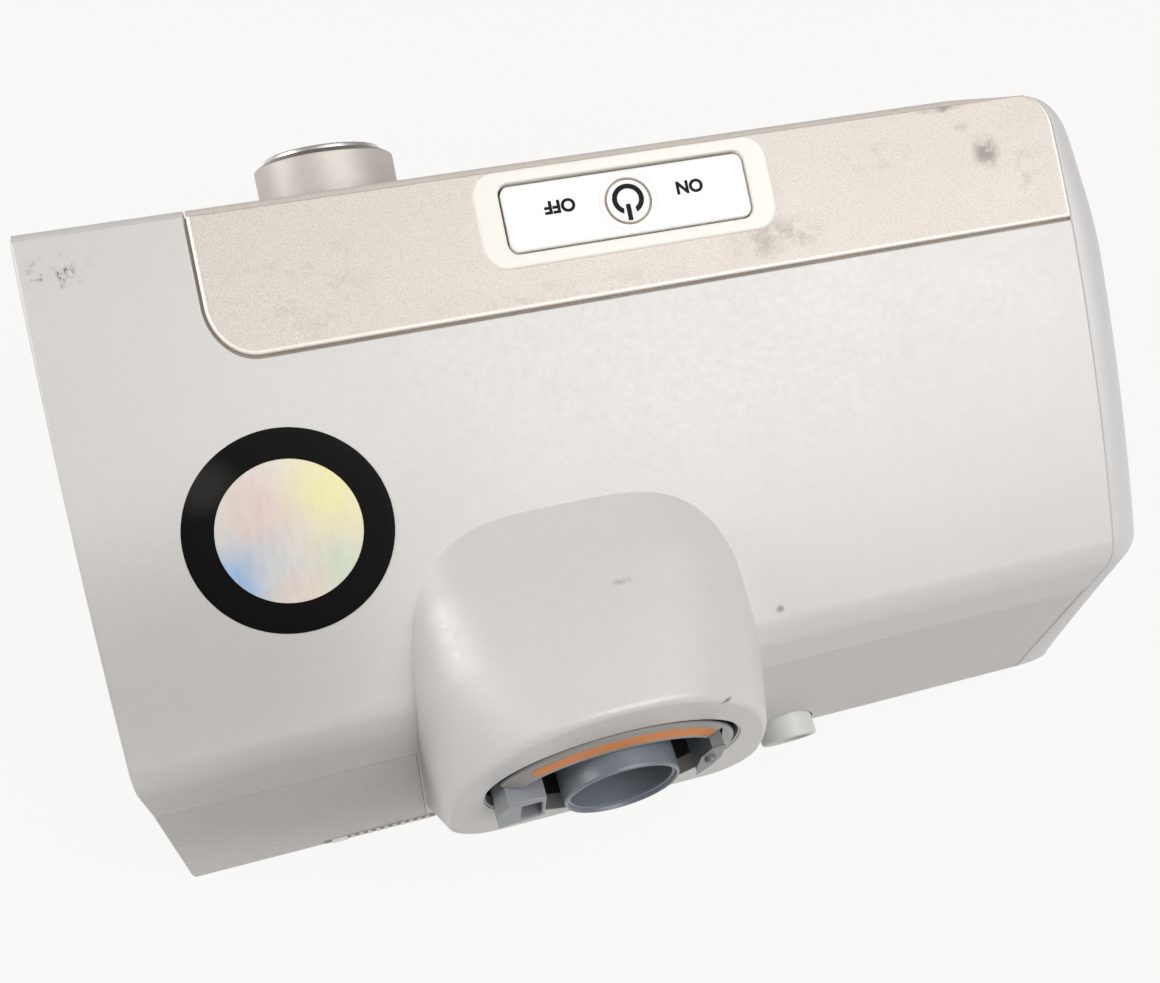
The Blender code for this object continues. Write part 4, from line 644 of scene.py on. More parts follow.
def front_line(low, high):
    heights = [low]
    heights += [z for z in spread(low, WIDEST, 10)[1:] if low < z < high]
    heights += [z for z in spread(WIDEST, KNEE, 14)[1:] if low < z < high]
    if high > KNEE:
        heights += spread(KNEE, high, 12)[1:-1]
    heights.append(high)
    return [(front_y(z), z) for z in heights]


def heel_line():
    return [(WALL_Y - HEEL + HEEL * math.cos(angle), FOOT + HEEL + HEEL * math.sin(angle))
            for angle in spread(0, -math.pi / 2, 10)]


def toe_line():
    start = FOOT
    for _ in range(8):
        slope = (WIDEST - start) / TUCK
        start = FOOT + TOE * (1 - slope)
    turn = math.asin(slope)
    centre = (front_y(start) + TOE * math.cos(turn), FOOT + TOE)
    return [(centre[0] + TOE * math.cos(angle), centre[1] + TOE * math.sin(angle))
            for angle in spread(-math.pi / 2, turn - math.pi, 10)], start


toe_points, toe_height = toe_line()


def smooth(share):
    share = min(max(share, 0), 1)
    return share * share * (3 - 2 * share)


wrap_turns = spread(0, math.pi / 2, 12)
crown_runs = [WRAP * (1 - math.cos(turn)) for turn in wrap_turns] + spread(WRAP, bend_start, 40)[1:]


def side_outline(inset):
    """Outline of the shell seen from the side, cut short at its top corner by an inset."""
    trim = inset / math.tan((math.pi / 2 + LEAN - math.atan(GRADE)) / 2)
    start = trim / math.hypot(GRADE, 1)
    points = [crown_point(start + run * (1 - start / bend_start)) for run in crown_runs]
    points += bend_line() + heel_line() + toe_points
    return points + front_line(toe_height, HEIGHT - trim * COS)[1:]


def wrap_share(z):
    return smooth((z - WRAP_LOW) / (HEIGHT - WRAP_LOW))


def side_edge():
    """For each point of the side outline, where the panel starts and its share of the front's rounding."""
    edge = []
    for index, run in enumerate(crown_runs):
        turn = wrap_turns[min(index, len(wrap_turns) - 1)]
        edge.append((SIDE_X + WRAP * (1 - math.sin(turn)), 1 - smooth(run / WRAP_FADE)))
    edge += [(SIDE_X, 0)] * len(bend_line() + heel_line() + toe_points)
    for y, z in front_line(toe_height, HEIGHT)[1:-1]:
        edge.append((SIDE_X + WRAP * wrap_share(z), wrap_share(z)))
    return edge


def wrap_outline(shift):
    """Arc of the panel's edge over the top, moved sideways by a gap."""
    middle = SIDE_X + WRAP + shift
    return [(middle - WRAP * math.sin(turn), WRAP * (1 - math.cos(turn))) for turn in wrap_turns]


def shell_loft(name, section, low, high, low_round, high_round):
    """A closed section drawn along X, with its two end edges rounded."""
    ends = [(inset, low - reach) for inset, reach in round_edge(low_round)[::-1]]
    ends += [(inset, high + reach) for inset, reach in round_edge(high_round)]
    return loft(name, [[Vector((x, y, z)) for y, z in offset_line(section, inset, closed=True)]
                       for inset, x in ends])


# Outlet hump
def hump_section(inset, y, steps=84):
    """Outline of the hump at one distance back: wider, squarer and deeper toward the wall."""
    wall_share = min((MOUTH_Y - y) / (MOUTH_Y - WALL_Y), 1)
    square_share = min((MOUTH_Y - y) / SQUARE_RUN, 1)
    half = HUMP_HALF + HUMP_FLARE * wall_share - inset
    rise = HUMP_RISE + HUMP_CLIMB * square_share - inset
    power = 2 / (MOUTH_POWER + (ROOT_POWER - MOUTH_POWER) * square_share)
    corner = HUMP_CORNER + (ROOT_CORNER - HUMP_CORNER) * wall_share - inset
    fall = HUMP_LOW - HUMP_ROOT_LOW
    low = HUMP_LOW - fall * wall_share + inset * math.hypot(fall, MOUTH_Y - WALL_Y) / (MOUTH_Y - WALL_Y)
    right = [((half - corner) * share, low) for share in (0.25, 0.5, 0.75)]
    for angle in spread(-math.pi / 2, 0, 12):
        right.append((half - corner + corner * math.cos(angle), low + corner + corner * math.sin(angle)))
    for angle in spread(0, math.pi / 2, steps // 2)[1:-1]:
        right.append((half * math.cos(angle) ** power, HUMP_MID + rise * math.sin(angle) ** power))
    left = [(-x, z) for x, z in reversed(right)]
    outline = [(0, low)] + right + [(0, HUMP_MID + rise)] + left
    return [Vector((HUMP_X + x, y, z)) for x, z in outline]


def hump_stations(start):
    return spread(start, WALL_Y, 14) + spread(WALL_Y, ROOT_Y, 24)[1:]


def hump_body():
    rings = [hump_section(inset, MOUTH_Y + reach) for inset, reach in round_edge(LIP, 7)[::-1]]
    body = loft("hump", rings + [hump_section(0, y) for y in hump_stations(MOUTH_Y - LIP)][1:])
    inner = crown_line() + bend_line() + [(WALL_Y, FOOT)]
    inner = offset_line(inner, CASE_WALL * 0.6)
    inner.append((EDGE_Y, FOOT))
    reach = HUMP_HALF + 0.010
    return cut(body, bend(slab("inside", inner, HUMP_X - reach, HUMP_X + reach), on_x))


apron_half = HUMP_HALF + HUMP_FLARE + 0.0005
apron_low = HUMP_ROOT_LOW - 0.0005


def strip_outline(grow, spill=0.0):
    left = SIDE_X + SLIT - (spill or grow)
    right, back, radius = STRIP_END + grow, STRIP_RUN + grow, STRIP_CORNER + grow
    outline = [(right, -spill)]
    for angle in spread(0, math.pi / 2, 20):
        outline.append((right - radius + radius * math.cos(angle), back - radius + radius * math.sin(angle)))
    outline.append((left, back))
    return outline + ([(left, -spill)] if spill else wrap_outline(SLIT - grow)[::-1])


def block(name, low, high):
    a, b = (low[0], high[0]), (low[1], high[1])
    return slab(name, [(a[0], b[0]), (a[1], b[0]), (a[1], b[1]), (a[0], b[1])], low[2], high[2])


def build_top_shell():
    outer = crown_line() + bend_line() + [(WALL_Y, apron_low)]
    section = outer + offset_line(outer, CASE_WALL)[::-1]
    case = shell_loft("top_shell", section, SIDE_X + SLIT, HOOD_X, 0.0002, 0.0008)
    seam = SEAM + GAP / 4
    for start, end in ((SIDE_X - OVER, HUMP_X - apron_half), (HUMP_X + apron_half, END_X + OVER)):
        cut(case, block("below_seam", (start, WALL_Y - DEEP, FOOT), (end, WALL_Y + OVER, seam)))
    fuse(case, hump_body())
    rings = [hump_section(HUMP_WALL, y) for y in hump_stations(MOUTH_Y - HUMP_WALL)]
    cut(case, loft("hump_inside", rings + [hump_section(HUMP_WALL, EDGE_Y + STRIP_RUN)]))
    soft = 0.0004
    steps = [(OVAL_W, OVAL_H, MOUTH_Y - DEEP)]
    steps += [(OVAL_W + soft - inset, OVAL_H + soft - inset, MOUTH_Y - soft - reach)
              for inset, reach in round_edge(soft)[::-1]]
    steps += [(OVAL_W + soft, OVAL_H + soft, MOUTH_Y + 0.0093)]
    rings = [(ellipse((HUMP_X, OVAL_Z), half_w, half_h), y) for half_w, half_h, y in steps]
    cut(case, bend(flat("oval", rings), on_y))
    steps = ((0, -STRIP_THICK - GAP), (0, -0.0003), (0.0001, -0.0001), (0.0003, 0.00002), (0.0003, OVER))
    recess = [(strip_outline(0.0005 + grow, OVER), depth) for grow, depth in steps]
    cut(case, bend(flat("recess", recess), on_crown, spread(-0.003, STRIP_RUN, 13)))
    corner = [(SIDE_X - OVER, WRAP), (SIDE_X - OVER, -OVER), (SIDE_X + WRAP + SLIT, -OVER)]
    corner += wrap_outline(SLIT)
    cut(case, bend(slab("wrap", corner, -DEEP, OVER), on_crown))
    cut(case, bend(slab("window", rounded_box(BUTTON, *PLATE_HOLE), -DEEP, OVER), on_crown))
    dress(case, shell_paint, "shell", "upper_case", sharp=32)


def on_rim(a, b):
    """Whether a place on the strip lies in the narrow rim along its end and back."""
    low_end = SIDE_X + SLIT + RIM
    right, back, radius = STRIP_END - RIM, STRIP_RUN - RIM, STRIP_CORNER - RIM
    if min(a - right, b - back) > -radius:
        return math.hypot(a - right + radius, b - back + radius) > radius
    if a < low_end + WRAP and b < WRAP:
        return math.hypot(a - low_end - WRAP, b - WRAP) > WRAP
    return a > right or b > back or a < low_end


def build_strip():
    steps = ((0, -STRIP_THICK), (0, -0.0003), (0.00008, 0.0), (0.00024, 0.00014), (0.00042, 0.00016),
             (0.00058, 0.00008), (0.00066, 0.0))
    strip = flat("top_strip_piece", [(strip_outline(-inset), depth) for inset, depth in steps])
    steps = ((0, -0.003), (0, -0.0002), (0.00005, 0.00002), (0.00005, OVER))
    cut(strip, box("surround_hole", BUTTON, *SURROUND_HOLE, steps))
    bend(strip, on_crown, spread(0, STRIP_RUN, 12)[1:-1])
    dress(strip, strip_paint, "strip", "top_strip", sharp=40)
    # Painted highlight: the narrow bevelled rim along the strip's end and back takes the lighter paint.
    tint(strip, strip_rim_highlight, lambda middle: on_rim(middle.x, middle.y - EDGE_Y))
    # Painted shade: a thin dark band set below the surface in the recess round the strip, darkening the gap.
    outer, inner = (strip_outline(grow, 0.0000001)[:-1] for grow in (0.00045, -0.0004))
    low, high = -0.0010, -0.0006
    rings = [[on_crown(*far, low), on_crown(*far, high), on_crown(*near, high), on_crown(*near, low)]
             for far, near in zip(outer, inner)]
    dress(loft("strip_gap_shade", rings), gap_painted_shade, "strip")


def build_lip(name, low, high, material, slot):
    """The rounded nose of the top edge, which fades out toward the wrapped corner."""
    nose = ((-0.0006, 0.0012), (0, 0.00001), (0.00075, 0.00004), (0.00137, 0.00017), (0.00187, 0.00045),
            (0.00217, 0.00085), (0.00225, 0.00131), (0.00220, 0.00187), (0.00206, 0.00255), (0.0005, 0.0025))
    rings = []
    for x in spread(low, high, 48):
        size = 0.05 + 1.05 * smooth((x - SIDE_X - 0.004) / 0.018)
        rings.append([Vector((x, EDGE_Y - ahead * size, HEIGHT - drop * size)) for ahead, drop in nose])
    dress(loft(name, rings), material, slot, sharp=45)


def build_surround():
    surround = box("start_frame", BUTTON, *SURROUND, topped(-STRIP_THICK, 0.0005, 5, 0.0003))
    steps = ((0, -0.003), (0, -0.0001), (0.00012, 0.00018), (0.0004, 0.00034), (0.0004, OVER))
    cut(surround, box("plate_hole", BUTTON, *PLATE_HOLE, steps))
    bend(surround, on_crown, spread(0.0002, STRIP_RUN * 0.71, 14))
    dress(surround, cream, "surround", "button_surround", sharp=40)


def ring_flat(name, middle, inner, outer, low, high, soft):
    """A flat-space ring with softly rounded top edges, squashed along b."""
    edge = round_edge(soft, 3, high)
    rings = [(inner, low), (outer, low)] + [(outer - inset, depth) for inset, depth in edge]
    rings += [(inner + inset, depth) for inset, depth in edge[::-1]]
    outlines = [[Vector((a, b, depth)) for a, b in ellipse(middle, size, size * 0.84, 96)]
                for size, depth in rings]
    return loft(name, outlines, closed=True)


def dress_key(obj, material, *nodes, sharp=38):
    """Bend a flat-space piece of the start button over the curved top, and dress it."""
    bend(obj, on_crown, spread(0.0025, 0.0130, 8) if nodes else ())
    dress(obj, material, "button", *nodes, body="start_key", sharp=sharp, pivot=on_crown(*BUTTON, 0))


def build_start_button():
    high = 0.0003
    middle = (BUTTON[0], BUTTON[1] + 0.0001)
    plate = box("start_plate", middle, *PLATE, topped(high - 0.0015, 0.0004, 4, high))
    grooves = ((0.00400, 0.00448, 0.0004, 0.00005), (0.00545, 0.00560, 0.0001, 0.00003))
    for inner, outer, depth, soft in grooves:
        cut(plate, ring_flat("groove", BUTTON, inner, outer, high - depth, high + 0.001, soft))
    dress_key(plate, plate_white, "start_button", sharp=40)
    ring = ring_flat("start_ring", BUTTON, 0.00412, 0.00436, high - 0.00035, high + 0.00002, 0.00006)
    dress_key(ring, ring_brown)
    arc, opening = [], math.radians(24)
    for radius, angles in ((0.00302, spread(opening, 2 * math.pi - opening, 60)),
                           (0.00205, spread(2 * math.pi - opening * 1.3, opening * 1.3, 60))):
        for angle in angles:
            arc.append((BUTTON[0] + radius * math.sin(angle),
                        BUTTON[1] - 0.0003 + radius * 0.81 * math.cos(angle)))
    bar = rounded_box((BUTTON[0] + 0.0002, BUTTON[1] + 0.0018), (0.0009, 0.0026), 0.0001, steps=3)
    for name, outline in (("power_arc", arc), ("power_bar", bar)):
        dress_key(slab(name, outline, high - 0.0001, high + 0.00003), ink)
    for word, offset in (("OFF", 0.0128), ("ON", -0.0120)):
        build_word(word, offset, high)


def build_word(word, offset, high):
    curve = bpy.data.curves.new("word", "FONT")
    curve.body = word
    curve.align_x = curve.align_y = "CENTER"
    curve.size = 0.0033
    curve.offset = 0.00013
    source = bpy.data.objects.new("word", curve)
    scene.collection.objects.link(source)
    graph = bpy.context.evaluated_depsgraph_get()
    mesh = bpy.data.meshes.new_from_object(source.evaluated_get(graph))
    bpy.data.objects.remove(source, do_unlink=True)
    bm = bmesh.new()
    bm.from_mesh(mesh)
    bmesh.ops.remove_doubles(bm, verts=bm.verts, dist=0.000001)
    raised = bmesh.ops.extrude_face_region(bm, geom=bm.faces[:], use_keep_orig=True)
    top = {item for item in raised["geom"] if isinstance(item, bmesh.types.BMVert)}
    for vert in bm.verts:
        vert.co = on_crown(BUTTON[0] + offset + vert.co.x, BUTTON[1] - 0.0009 + vert.co.y * 0.84,
                           high + 0.00003 if vert in top else high - 0.0001)
    obj = add_object("word_" + word.lower(), bm)
    dress(obj, ink, "button", body="start_key", pivot=on_crown(*BUTTON, 0))


def build_bottom_shell():
    outer = [(WALL_Y, SEAM - GAP / 4)] + heel_line() + toe_points
    outer += front_line(toe_height, FASCIA_LOW - GAP / 2)[1:]
    section = outer + offset_line(outer, BASE_WALL)[::-1]
    case = shell_loft("bottom_shell", section, SIDE_X + GAP, END_X, 0.0003, 0.0008)
    low = FOOT + HEEL
    for vert in case.data.vertices:
        if vert.co.x > END_X - 0.003 and vert.co.y > 0 and vert.co.z > low:
            vert.co.x -= (END_X - HOOD_X) * (vert.co.z - low) / (SEAM - low)
    slack = 0.00008
    left, right = HUMP_X - apron_half - slack, HUMP_X + apron_half + slack
    cut(case, block("apron_notch", (left, WALL_Y - BASE_WALL - OVER, apron_low - slack),
                    (right, WALL_Y + OVER, SEAM + OVER)))
    cut(case, block("bay_front", (STRIP_END + GAP, FACE_Y - OVER, BASE_TOP + TOE),
                    (END_X + OVER, FACE_Y + 0.0186, FASCIA_LOW + OVER)))
    bore(case, 0.0068, -0.0093, 0.0078, inlet_frame(), 64)
    front = FACE_Y + TOE + 0.009
    for x, y in ((SIDE_X + 0.030, front), (0.0329, front), (0.0329, 0.020)):
        bore(case, 0.0033, -OVER, 0.0048, Matrix.Translation((x, y, 0)), 32)
    for x in (SIDE_X + 0.014, END_X - 0.014):
        for y in (FACE_Y + TOE + 0.016, WALL_Y - 0.016):
            bore(case, 0.0063, -OVER, FOOT + 0.0008, Matrix.Translation((x, y, 0)), 48)
    dress(case, base_paint, "base", "lower_case", sharp=32)
    teeth = heel_bar("vent_teeth", 0.0520, 0.0529, 0.0009, 60, 0.00016)
    for index in range(1, 10):
        low_x = 0.0520 + 0.0018 * index
        fuse(teeth, heel_bar("tooth", low_x, low_x + 0.0009, 0.0009, 60, 0.00016))
    dress(heel_bar("vent_strip", 0.0508, 0.0748, 0.0012, 66, 0.00005), vent_grey, "base")
    dress(teeth, ring_white, "base")
    dress(heel_bar("vent_tab", 0.0698, 0.0731, 0.0010, 60, 0.0003), plate_white, "base")


def heel_bar(name, low_x, high_x, rise, end, proud):
    """A thin bar laid on the foot of the back wall and round its heel, down to an angle."""
    line = [(WALL_Y, FOOT + HEEL + rise)]
    line += [(WALL_Y - HEEL + HEEL * math.cos(angle), FOOT + HEEL + HEEL * math.sin(angle))
             for angle in spread(0, -math.radians(end), 6)]
    section = offset_line(line, -proud) + offset_line(line, 0.0003)[::-1]
    return loft(name, [[Vector((x, y, z)) for y, z in section] for x in (low_x, high_x)])


def inlet_frame():
    tilt = math.radians(13)
    return frame_on((-0.0317, WALL_Y, 0.0079), (0, math.cos(tilt), -math.sin(tilt)))


def side_ring(turn, wall, inward=0.0):
    """Side outline at one turn of the bulge: moved inward, but less near the floor."""
    def inset_at(weight):
        power = 1 + WRAP_POWER * weight
        return (BULGE_ROUND + (WRAP_ROUND - BULGE_ROUND) * weight - wall) * (1 - math.cos(turn) ** power)
    outline = offset_line(side_outline(wall + inward + inset_at(1)), wall + inward)
    unit = offset_line(outline, 1)
    ring = []
    for plain, shifted, (start, weight) in zip(outline, unit, side_edge()):
        inset = inset_at(weight) * min(max((plain[1] - FOOT) / 0.018, 0.2), 1)
        reach = (start + END_X - wall) * math.sin(turn) ** (1 + WRAP_POWER * weight)
        ring.append(Vector((start - reach, plain[0] + (shifted[0] - plain[0]) * inset,
                            plain[1] + (shifted[1] - plain[1]) * inset)))
    return ring


side_doors = {"card_cover": ((-0.010, 0.066), (0.030, 0.009)),
              "filter_cover": ((0.019, 0.0385), (0.042, 0.030))}


def build_side():
    inner = [side_ring(turn, PANEL_WALL) for turn in spread(math.pi / 2, 0, 7)]
    outer = [side_ring(0, 0, 0.0002)] + [side_ring(turn, 0) for turn in spread(0.03, math.pi / 2, 14)]
    shell = loft("side_bulge", inner + outer)
    edge, far = wrap_outline(0.00012), SIDE_X + 2 * WRAP
    room = edge + [(edge[-1][0], 2 * WRAP), (far, 2 * WRAP), (far, -OVER), (edge[0][0], -OVER)]
    cut(shell, bend(slab("crown_room", room, -CASE_WALL - GAP, OVER), on_crown))
    for middle, size in side_doors.values():
        grown = (size[0] + 2 * GAP, size[1] + 2 * GAP)
        cut(shell, bend(box("side_hole", middle, grown, 0.0009, through(-DEEP)), on_side))
    dress(shell, side_paint, "shell", "side_panel", sharp=32)


def build_side_door(node, body, vents):
    middle, size = side_doors[node]
    thick, soft = 0.0018, 0.0003
    half = thick / 2
    low = middle[1] - size[1] / 2
    top = low + size[1]
    profile = [(-END_X + soft, top), (-END_X, top - soft)]
    for angle in spread(math.pi, 2 * math.pi, 16):
        profile.append((-END_X + half + half * math.cos(angle), low + half + half * math.sin(angle)))
    profile += [(-END_X + thick, top - soft), (-END_X + thick - soft, top)]
    rings = []
    for end, edge in ((-1, round_edge(soft, 3)[::-1]), (1, round_edge(soft, 3))):
        for inset, reach in edge:
            y = middle[0] + end * size[0] / 2 + end * reach
            rings.append([Vector((x, y, z)) for x, z in offset_line(profile, -inset, closed=True)])
    door = loft(node + "_piece", rings)
    grip = rounded_box((middle[0], top - half), (size[0] / 3, thick), half * 0.9)
    cut(door, bend(slab("grip", grip, -half, OVER), on_side))
    for index in range(vents):
        place = (middle[0], low + size[1] * (index + 1) / (vents + 1))
        cut(door, bend(box("vent", place, (0.030, 0.0014), 0.0006, through(-0.005), 5), on_side))
    dress(door, side_paint, "shell", node, body=body, pivot=(-END_X + half, middle[0], low + half))


# Leaning front with screen, dial and home button
def build_front():
    outer = front_line(FASCIA_LOW + GAP / 2, HEIGHT - FASCIA_TOP * COS)
    section = outer + offset_line(outer, PANEL_WALL)[::-1]
    fascia = shell_loft("front_panel", section, SIDE_X + GAP, STRIP_END, 0.0003, 0.0005)
    edge = [(SIDE_X + WRAP * wrap_share(z) + GAP, z) for z in spread(toe_height, HEIGHT, 60)]
    room = [(SIDE_X - OVER, toe_height)] + edge + [(SIDE_X - OVER, HEIGHT)]
    cut(fascia, bend(slab("wrap", room, FACE_Y - OVER, EDGE_Y + OVER), on_y))
    cut(fascia, bend(box("window", SCREEN, (0.0646, 0.0446), 0.0033, through(-DEEP)), on_front))
    for middle, radius in ((DIAL, 0.0033), (HOME, 0.0063)):
        hole = [(radius + grow, depth) for grow, depth in through(-DEEP, 0.0002)]
        hole = [(0, -DEEP)] + hole + [(0, OVER)]
        cut(fascia, turned("hole", hole, frame_on(on_front(*middle, 0), FRONT_AXIS), 64))
    dress(fascia, fascia_paint, "fascia", "front_fascia", sharp=32)
    glass = box("screen_glass", SCREEN, (0.064, 0.044), 0.003, topped(-0.0016, 0.0004))
    dress(bend(glass, on_front), lens_black, "lens", "screen_lens")


def build_dial():
    pivot = on_front(*DIAL, 0)
    place = frame_on(pivot, FRONT_AXIS)
    radius, low, top, rim = 0.0133, 0.0012, 0.0110, 0.0112
    profile = [(0, low), (radius - 0.0006, low), (radius - 0.0002, low + 0.0002), (radius, low + 0.0006),
               (radius, low + 0.003), (radius, top - 0.0014), (radius - 0.0001, top - 0.0012),
               (radius - 0.0004, top - 0.0010), (rim + 0.0003, top - 0.0002), (rim + 0.0002, top - 0.0002),
               (rim + 0.0001, top - 0.0006), (rim - 0.0013, top - 0.0006), (rim - 0.0014, top - 0.0003),
               (rim - 0.0018, top - 0.0002), (0.004, top - 0.0005), (0, top - 0.0006)]
    knob = turned("dial_body", profile, place, 192)
    bore(knob, 0.0033, -OVER, low + 0.0053, place, 48)
    dress(knob, dial_side, "silver", "dial_knob", body="dial", pivot=pivot)

    def on_shoulder(middle):
        rise = middle.dot(FRONT_AXIS)
        return rise > top - 0.00125 and (middle - FRONT_AXIS * rise).length > rim
    # Painted shade: the shoulder under the front ring takes the darker copy of the knob's metal.
    tint(knob, dial_painted_shade, on_shoulder)
    ring = ((0, -0.0005), (0, 0.0003), (0.0001, 0.0005), (0.0003, 0.0006), (0.0008, 0.0006),
            (0.0010, 0.0005), (0.0011, 0.0003), (0.0011, -0.0005))
    ring = turned("dial_front_ring", [(rim - inset, top + rise) for inset, rise in ring], place, 160, True)
    dress(ring, dial_bright, "silver", "dial_trim_ring", body="dial", pivot=pivot)


def build_home():
    pivot = on_front(*HOME, 0)
    profile = [(0, -0.0036), (0.006, -0.0036), (0.006, 0.0002), (0.0059, 0.0005), (0.0056, 0.0007),
               (0.0050, 0.0008), (0.0030, 0.0007), (0.0, 0.0006)]
    button = turned("home_key_cap", profile, frame_on(pivot, FRONT_AXIS))
    dress(button, dial_side, "silver", "home_button", body="home_key", pivot=pivot)
    house = ((-0.0020, 0.0), (0.0, -0.0018), (0.0020, 0.0), (0.0014, 0.0), (0.0014, 0.0016),
             (-0.0014, 0.0016), (-0.0014, 0.0))
    house = [(HOME[0] + x, HOME[1] + y) for x, y in house]
    sign = bend(slab("home_sign", house, 0.0003, 0.00082), on_front)
    dress(sign, ink, "silver", body="home_key", pivot=pivot)


# Outlet insert, tube, socket and latch
def oval(half_width, half_height, y, height=OVAL_Z, count=144):
    return [Vector((x, y, z)) for x, z in ellipse((HUMP_X, height), half_width, half_height, count)]


def build_outlet():
    wide, tall, thin = OVAL_W - 0.0010, OVAL_H - 0.0006, 0.0032
    back, crest = MOUTH_Y - 0.0145, MOUTH_Y + 0.0015
    floor = back + 0.0020
    slope = 0.0009 / (thin - 0.0006)
    hole = TUBE_R + GAP
    steps = ((0.0008, back), (0.0, MOUTH_Y - 0.0003), (0.0001, MOUTH_Y + 0.0001), (0.0003, MOUTH_Y + 0.0003),
             (0.0008, MOUTH_Y + 0.0003 + 0.0005 * slope), (0.0026, crest - 0.0006 * slope),
             (0.0031, crest), (0.0033, crest - 0.0001), (thin, crest - 0.0003), (thin, crest - 0.003),
             (thin + 0.0002, floor + 0.0008), (thin + 0.0008, floor + 0.0002), (thin + 0.0014, floor))
    rings = [oval(wide - inset, tall - inset, y) for inset, y in steps]
    rings += [oval(hole, hole, y, TUBE_Z) for y in (floor, back)]
    insert = loft("outlet_insert_piece", rings, closed=True)
    seat = MOUTH_Y - 0.0115
    for x, z, width, height in ((0.0368, 0.0544, 0.0090, 0.0116), (0.0012, 0.0555, 0.0044, 0.0132)):
        half_w, half_h = width / 2 + GAP, height / 2 + GAP
        cut(insert, block("seat", (x - half_w, seat - GAP, z - half_h),
                          (x + half_w, MOUTH_Y + OVER, z + half_h)))
    dress(insert, insert_paint, "insert", "outlet_insert", sharp=30)
    # Painted shade: the walls inside the insert, back from its mouth, take the near black.
    tint(insert, well_painted_shade, lambda middle: middle.y < MOUTH_Y - 0.0012)
    band = [(0.0003 + (0.0031 - 0.0003) * share, MOUTH_Y + 0.0003 + (crest - MOUTH_Y - 0.0003) * share)
            for share in (0.26, 0.82)]
    build_band(band, wide, tall)
    build_tube(back - GAP)
    build_socket(seat)
    build_latch(seat)


def build_tube(collar):
    rim, inner = MOUTH_Y + 0.0049, TUBE_R - 0.0014
    profile = [(TUBE_R, collar), (TUBE_R, rim - 0.0022), (TUBE_R - 0.00012, rim - 0.0020),
               (TUBE_R - 0.00012, rim - 0.0006), (TUBE_R - 0.0002, rim - 0.0002), (TUBE_R - 0.0004, rim),
               (inner + 0.00075, rim), (inner + 0.0006, rim - 0.0002), (inner + 0.0005, rim - 0.0006),
               (inner + 0.0003, rim - 0.0006), (inner + 0.00005, rim - 0.0008), (inner, rim - 0.0012),
               (inner, collar - 0.0038), (TUBE_R, collar - 0.0038), (TUBE_R, collar - 0.0016),
               (TUBE_R + 0.0016, collar - 0.0016), (TUBE_R + 0.0016, collar)]
    place = Matrix.Translation((HUMP_X, 0, TUBE_Z)) @ Matrix.Rotation(-math.pi / 2, 4, "X")
    tube = turned("outlet_tube_piece", profile, place, 128, closed=True)
    dress(tube, tube_paint, "tube", "outlet_tube", sharp=34)


def build_band(edges, wide, tall):
    """A thin copper arc laid on the slanted ring over the top of the oval."""
    start, end = math.radians(42), math.radians(146)
    middle = [(edges[0][axis] + edges[1][axis]) / 2 for axis in (0, 1)]
    lift = Vector((0, 0.00006, 0))
    rings = []
    for step in range(81):
        share = step / 80
        angle = start + (end - start) * share
        fade = min(share, 1 - share) * 80
        narrow = 1 if fade > 3 else math.sqrt(max(1 - (1 - fade / 3) ** 2, 0.02))
        row = []
        for edge in edges:
            inset, y = (middle[axis] + (edge[axis] - middle[axis]) * narrow for axis in (0, 1))
            row.append(Vector((HUMP_X + (wide - inset) * math.cos(angle), y,
                               OVAL_Z + (tall - inset) * math.sin(angle))))
        rings.append([row[0] - lift, row[0] + lift, row[1] + lift, row[1] - lift])
    dress(loft("copper_band", rings), copper, "insert")


def soft_block(name, outline, low, high, soft):
    """An outline drawn along Y with its front edge rounded."""
    steps = [(0, low)] + [(-inset, depth) for inset, depth in round_edge(soft, 3, high)]
    return bend(flat(name, [(offset_line(outline, grow, closed=True), depth) for grow, depth in steps]), on_y)


def build_socket(seat):
    front = MOUTH_Y + 0.0039
    outline = [(0.0324, 0.0500), (0.0411, 0.0487), (0.0412, 0.0560), (0.0393, 0.0601), (0.0361, 0.0599),
               (0.0324, 0.0594)]
    socket = soft_block("socket_block", outline, seat, front, 0.0003)
    steps = [(grow, front + depth) for grow, depth in through(-0.006, 0.0002)]
    cut(socket, bend(box("hole", (0.0350, 0.0546), (0.0038, 0.0068), 0.0005, steps, 5), on_y))
    dress(socket, block_paint, "insert", "tube_connector", sharp=30)


def build_latch(seat):
    front = MOUTH_Y + 0.0035
    outline = [(0.0004, 0.0526), (-0.0007, 0.0560), (-0.0007, 0.0619), (0.0016, 0.0617), (0.0030, 0.0585),
               (0.0031, 0.0530), (0.0026, 0.0492)]
    latch = soft_block("latch_block", outline, seat, front, 0.00025)
    pin = Matrix.Translation((0.0013, front, 0.0567)) @ Matrix.Rotation(-math.pi / 2, 4, "X")
    profile = [(0, -0.001), (0.0011, -0.001), (0.0011, 0.0005), (0.0010, 0.0007), (0.0008, 0.0008),
               (0, 0.0008)]
    fuse(latch, turned("pin", profile, pin, 32))
    dress(latch, latch_paint, "insert", "tube_latch", sharp=30)


def build_inlet():
    radius, inner, proud = 0.0065, 0.0049, 0.0038
    profile = [(0, -0.0055), (radius, -0.0055), (radius, proud - 0.0006), (radius - 0.0002, proud - 0.0002),
               (radius - 0.0006, proud), (inner + 0.0004, proud), (inner + 0.0001, proud - 0.0001),
               (inner, proud - 0.0004), (inner, -0.0037), (0.0013, -0.0037), (0.0013, -0.0053), (0, -0.0053)]
    collar = turned("inlet_collar", profile, inlet_frame())
    dress(collar, collar_paint, "collar", "power_inlet", sharp=34)


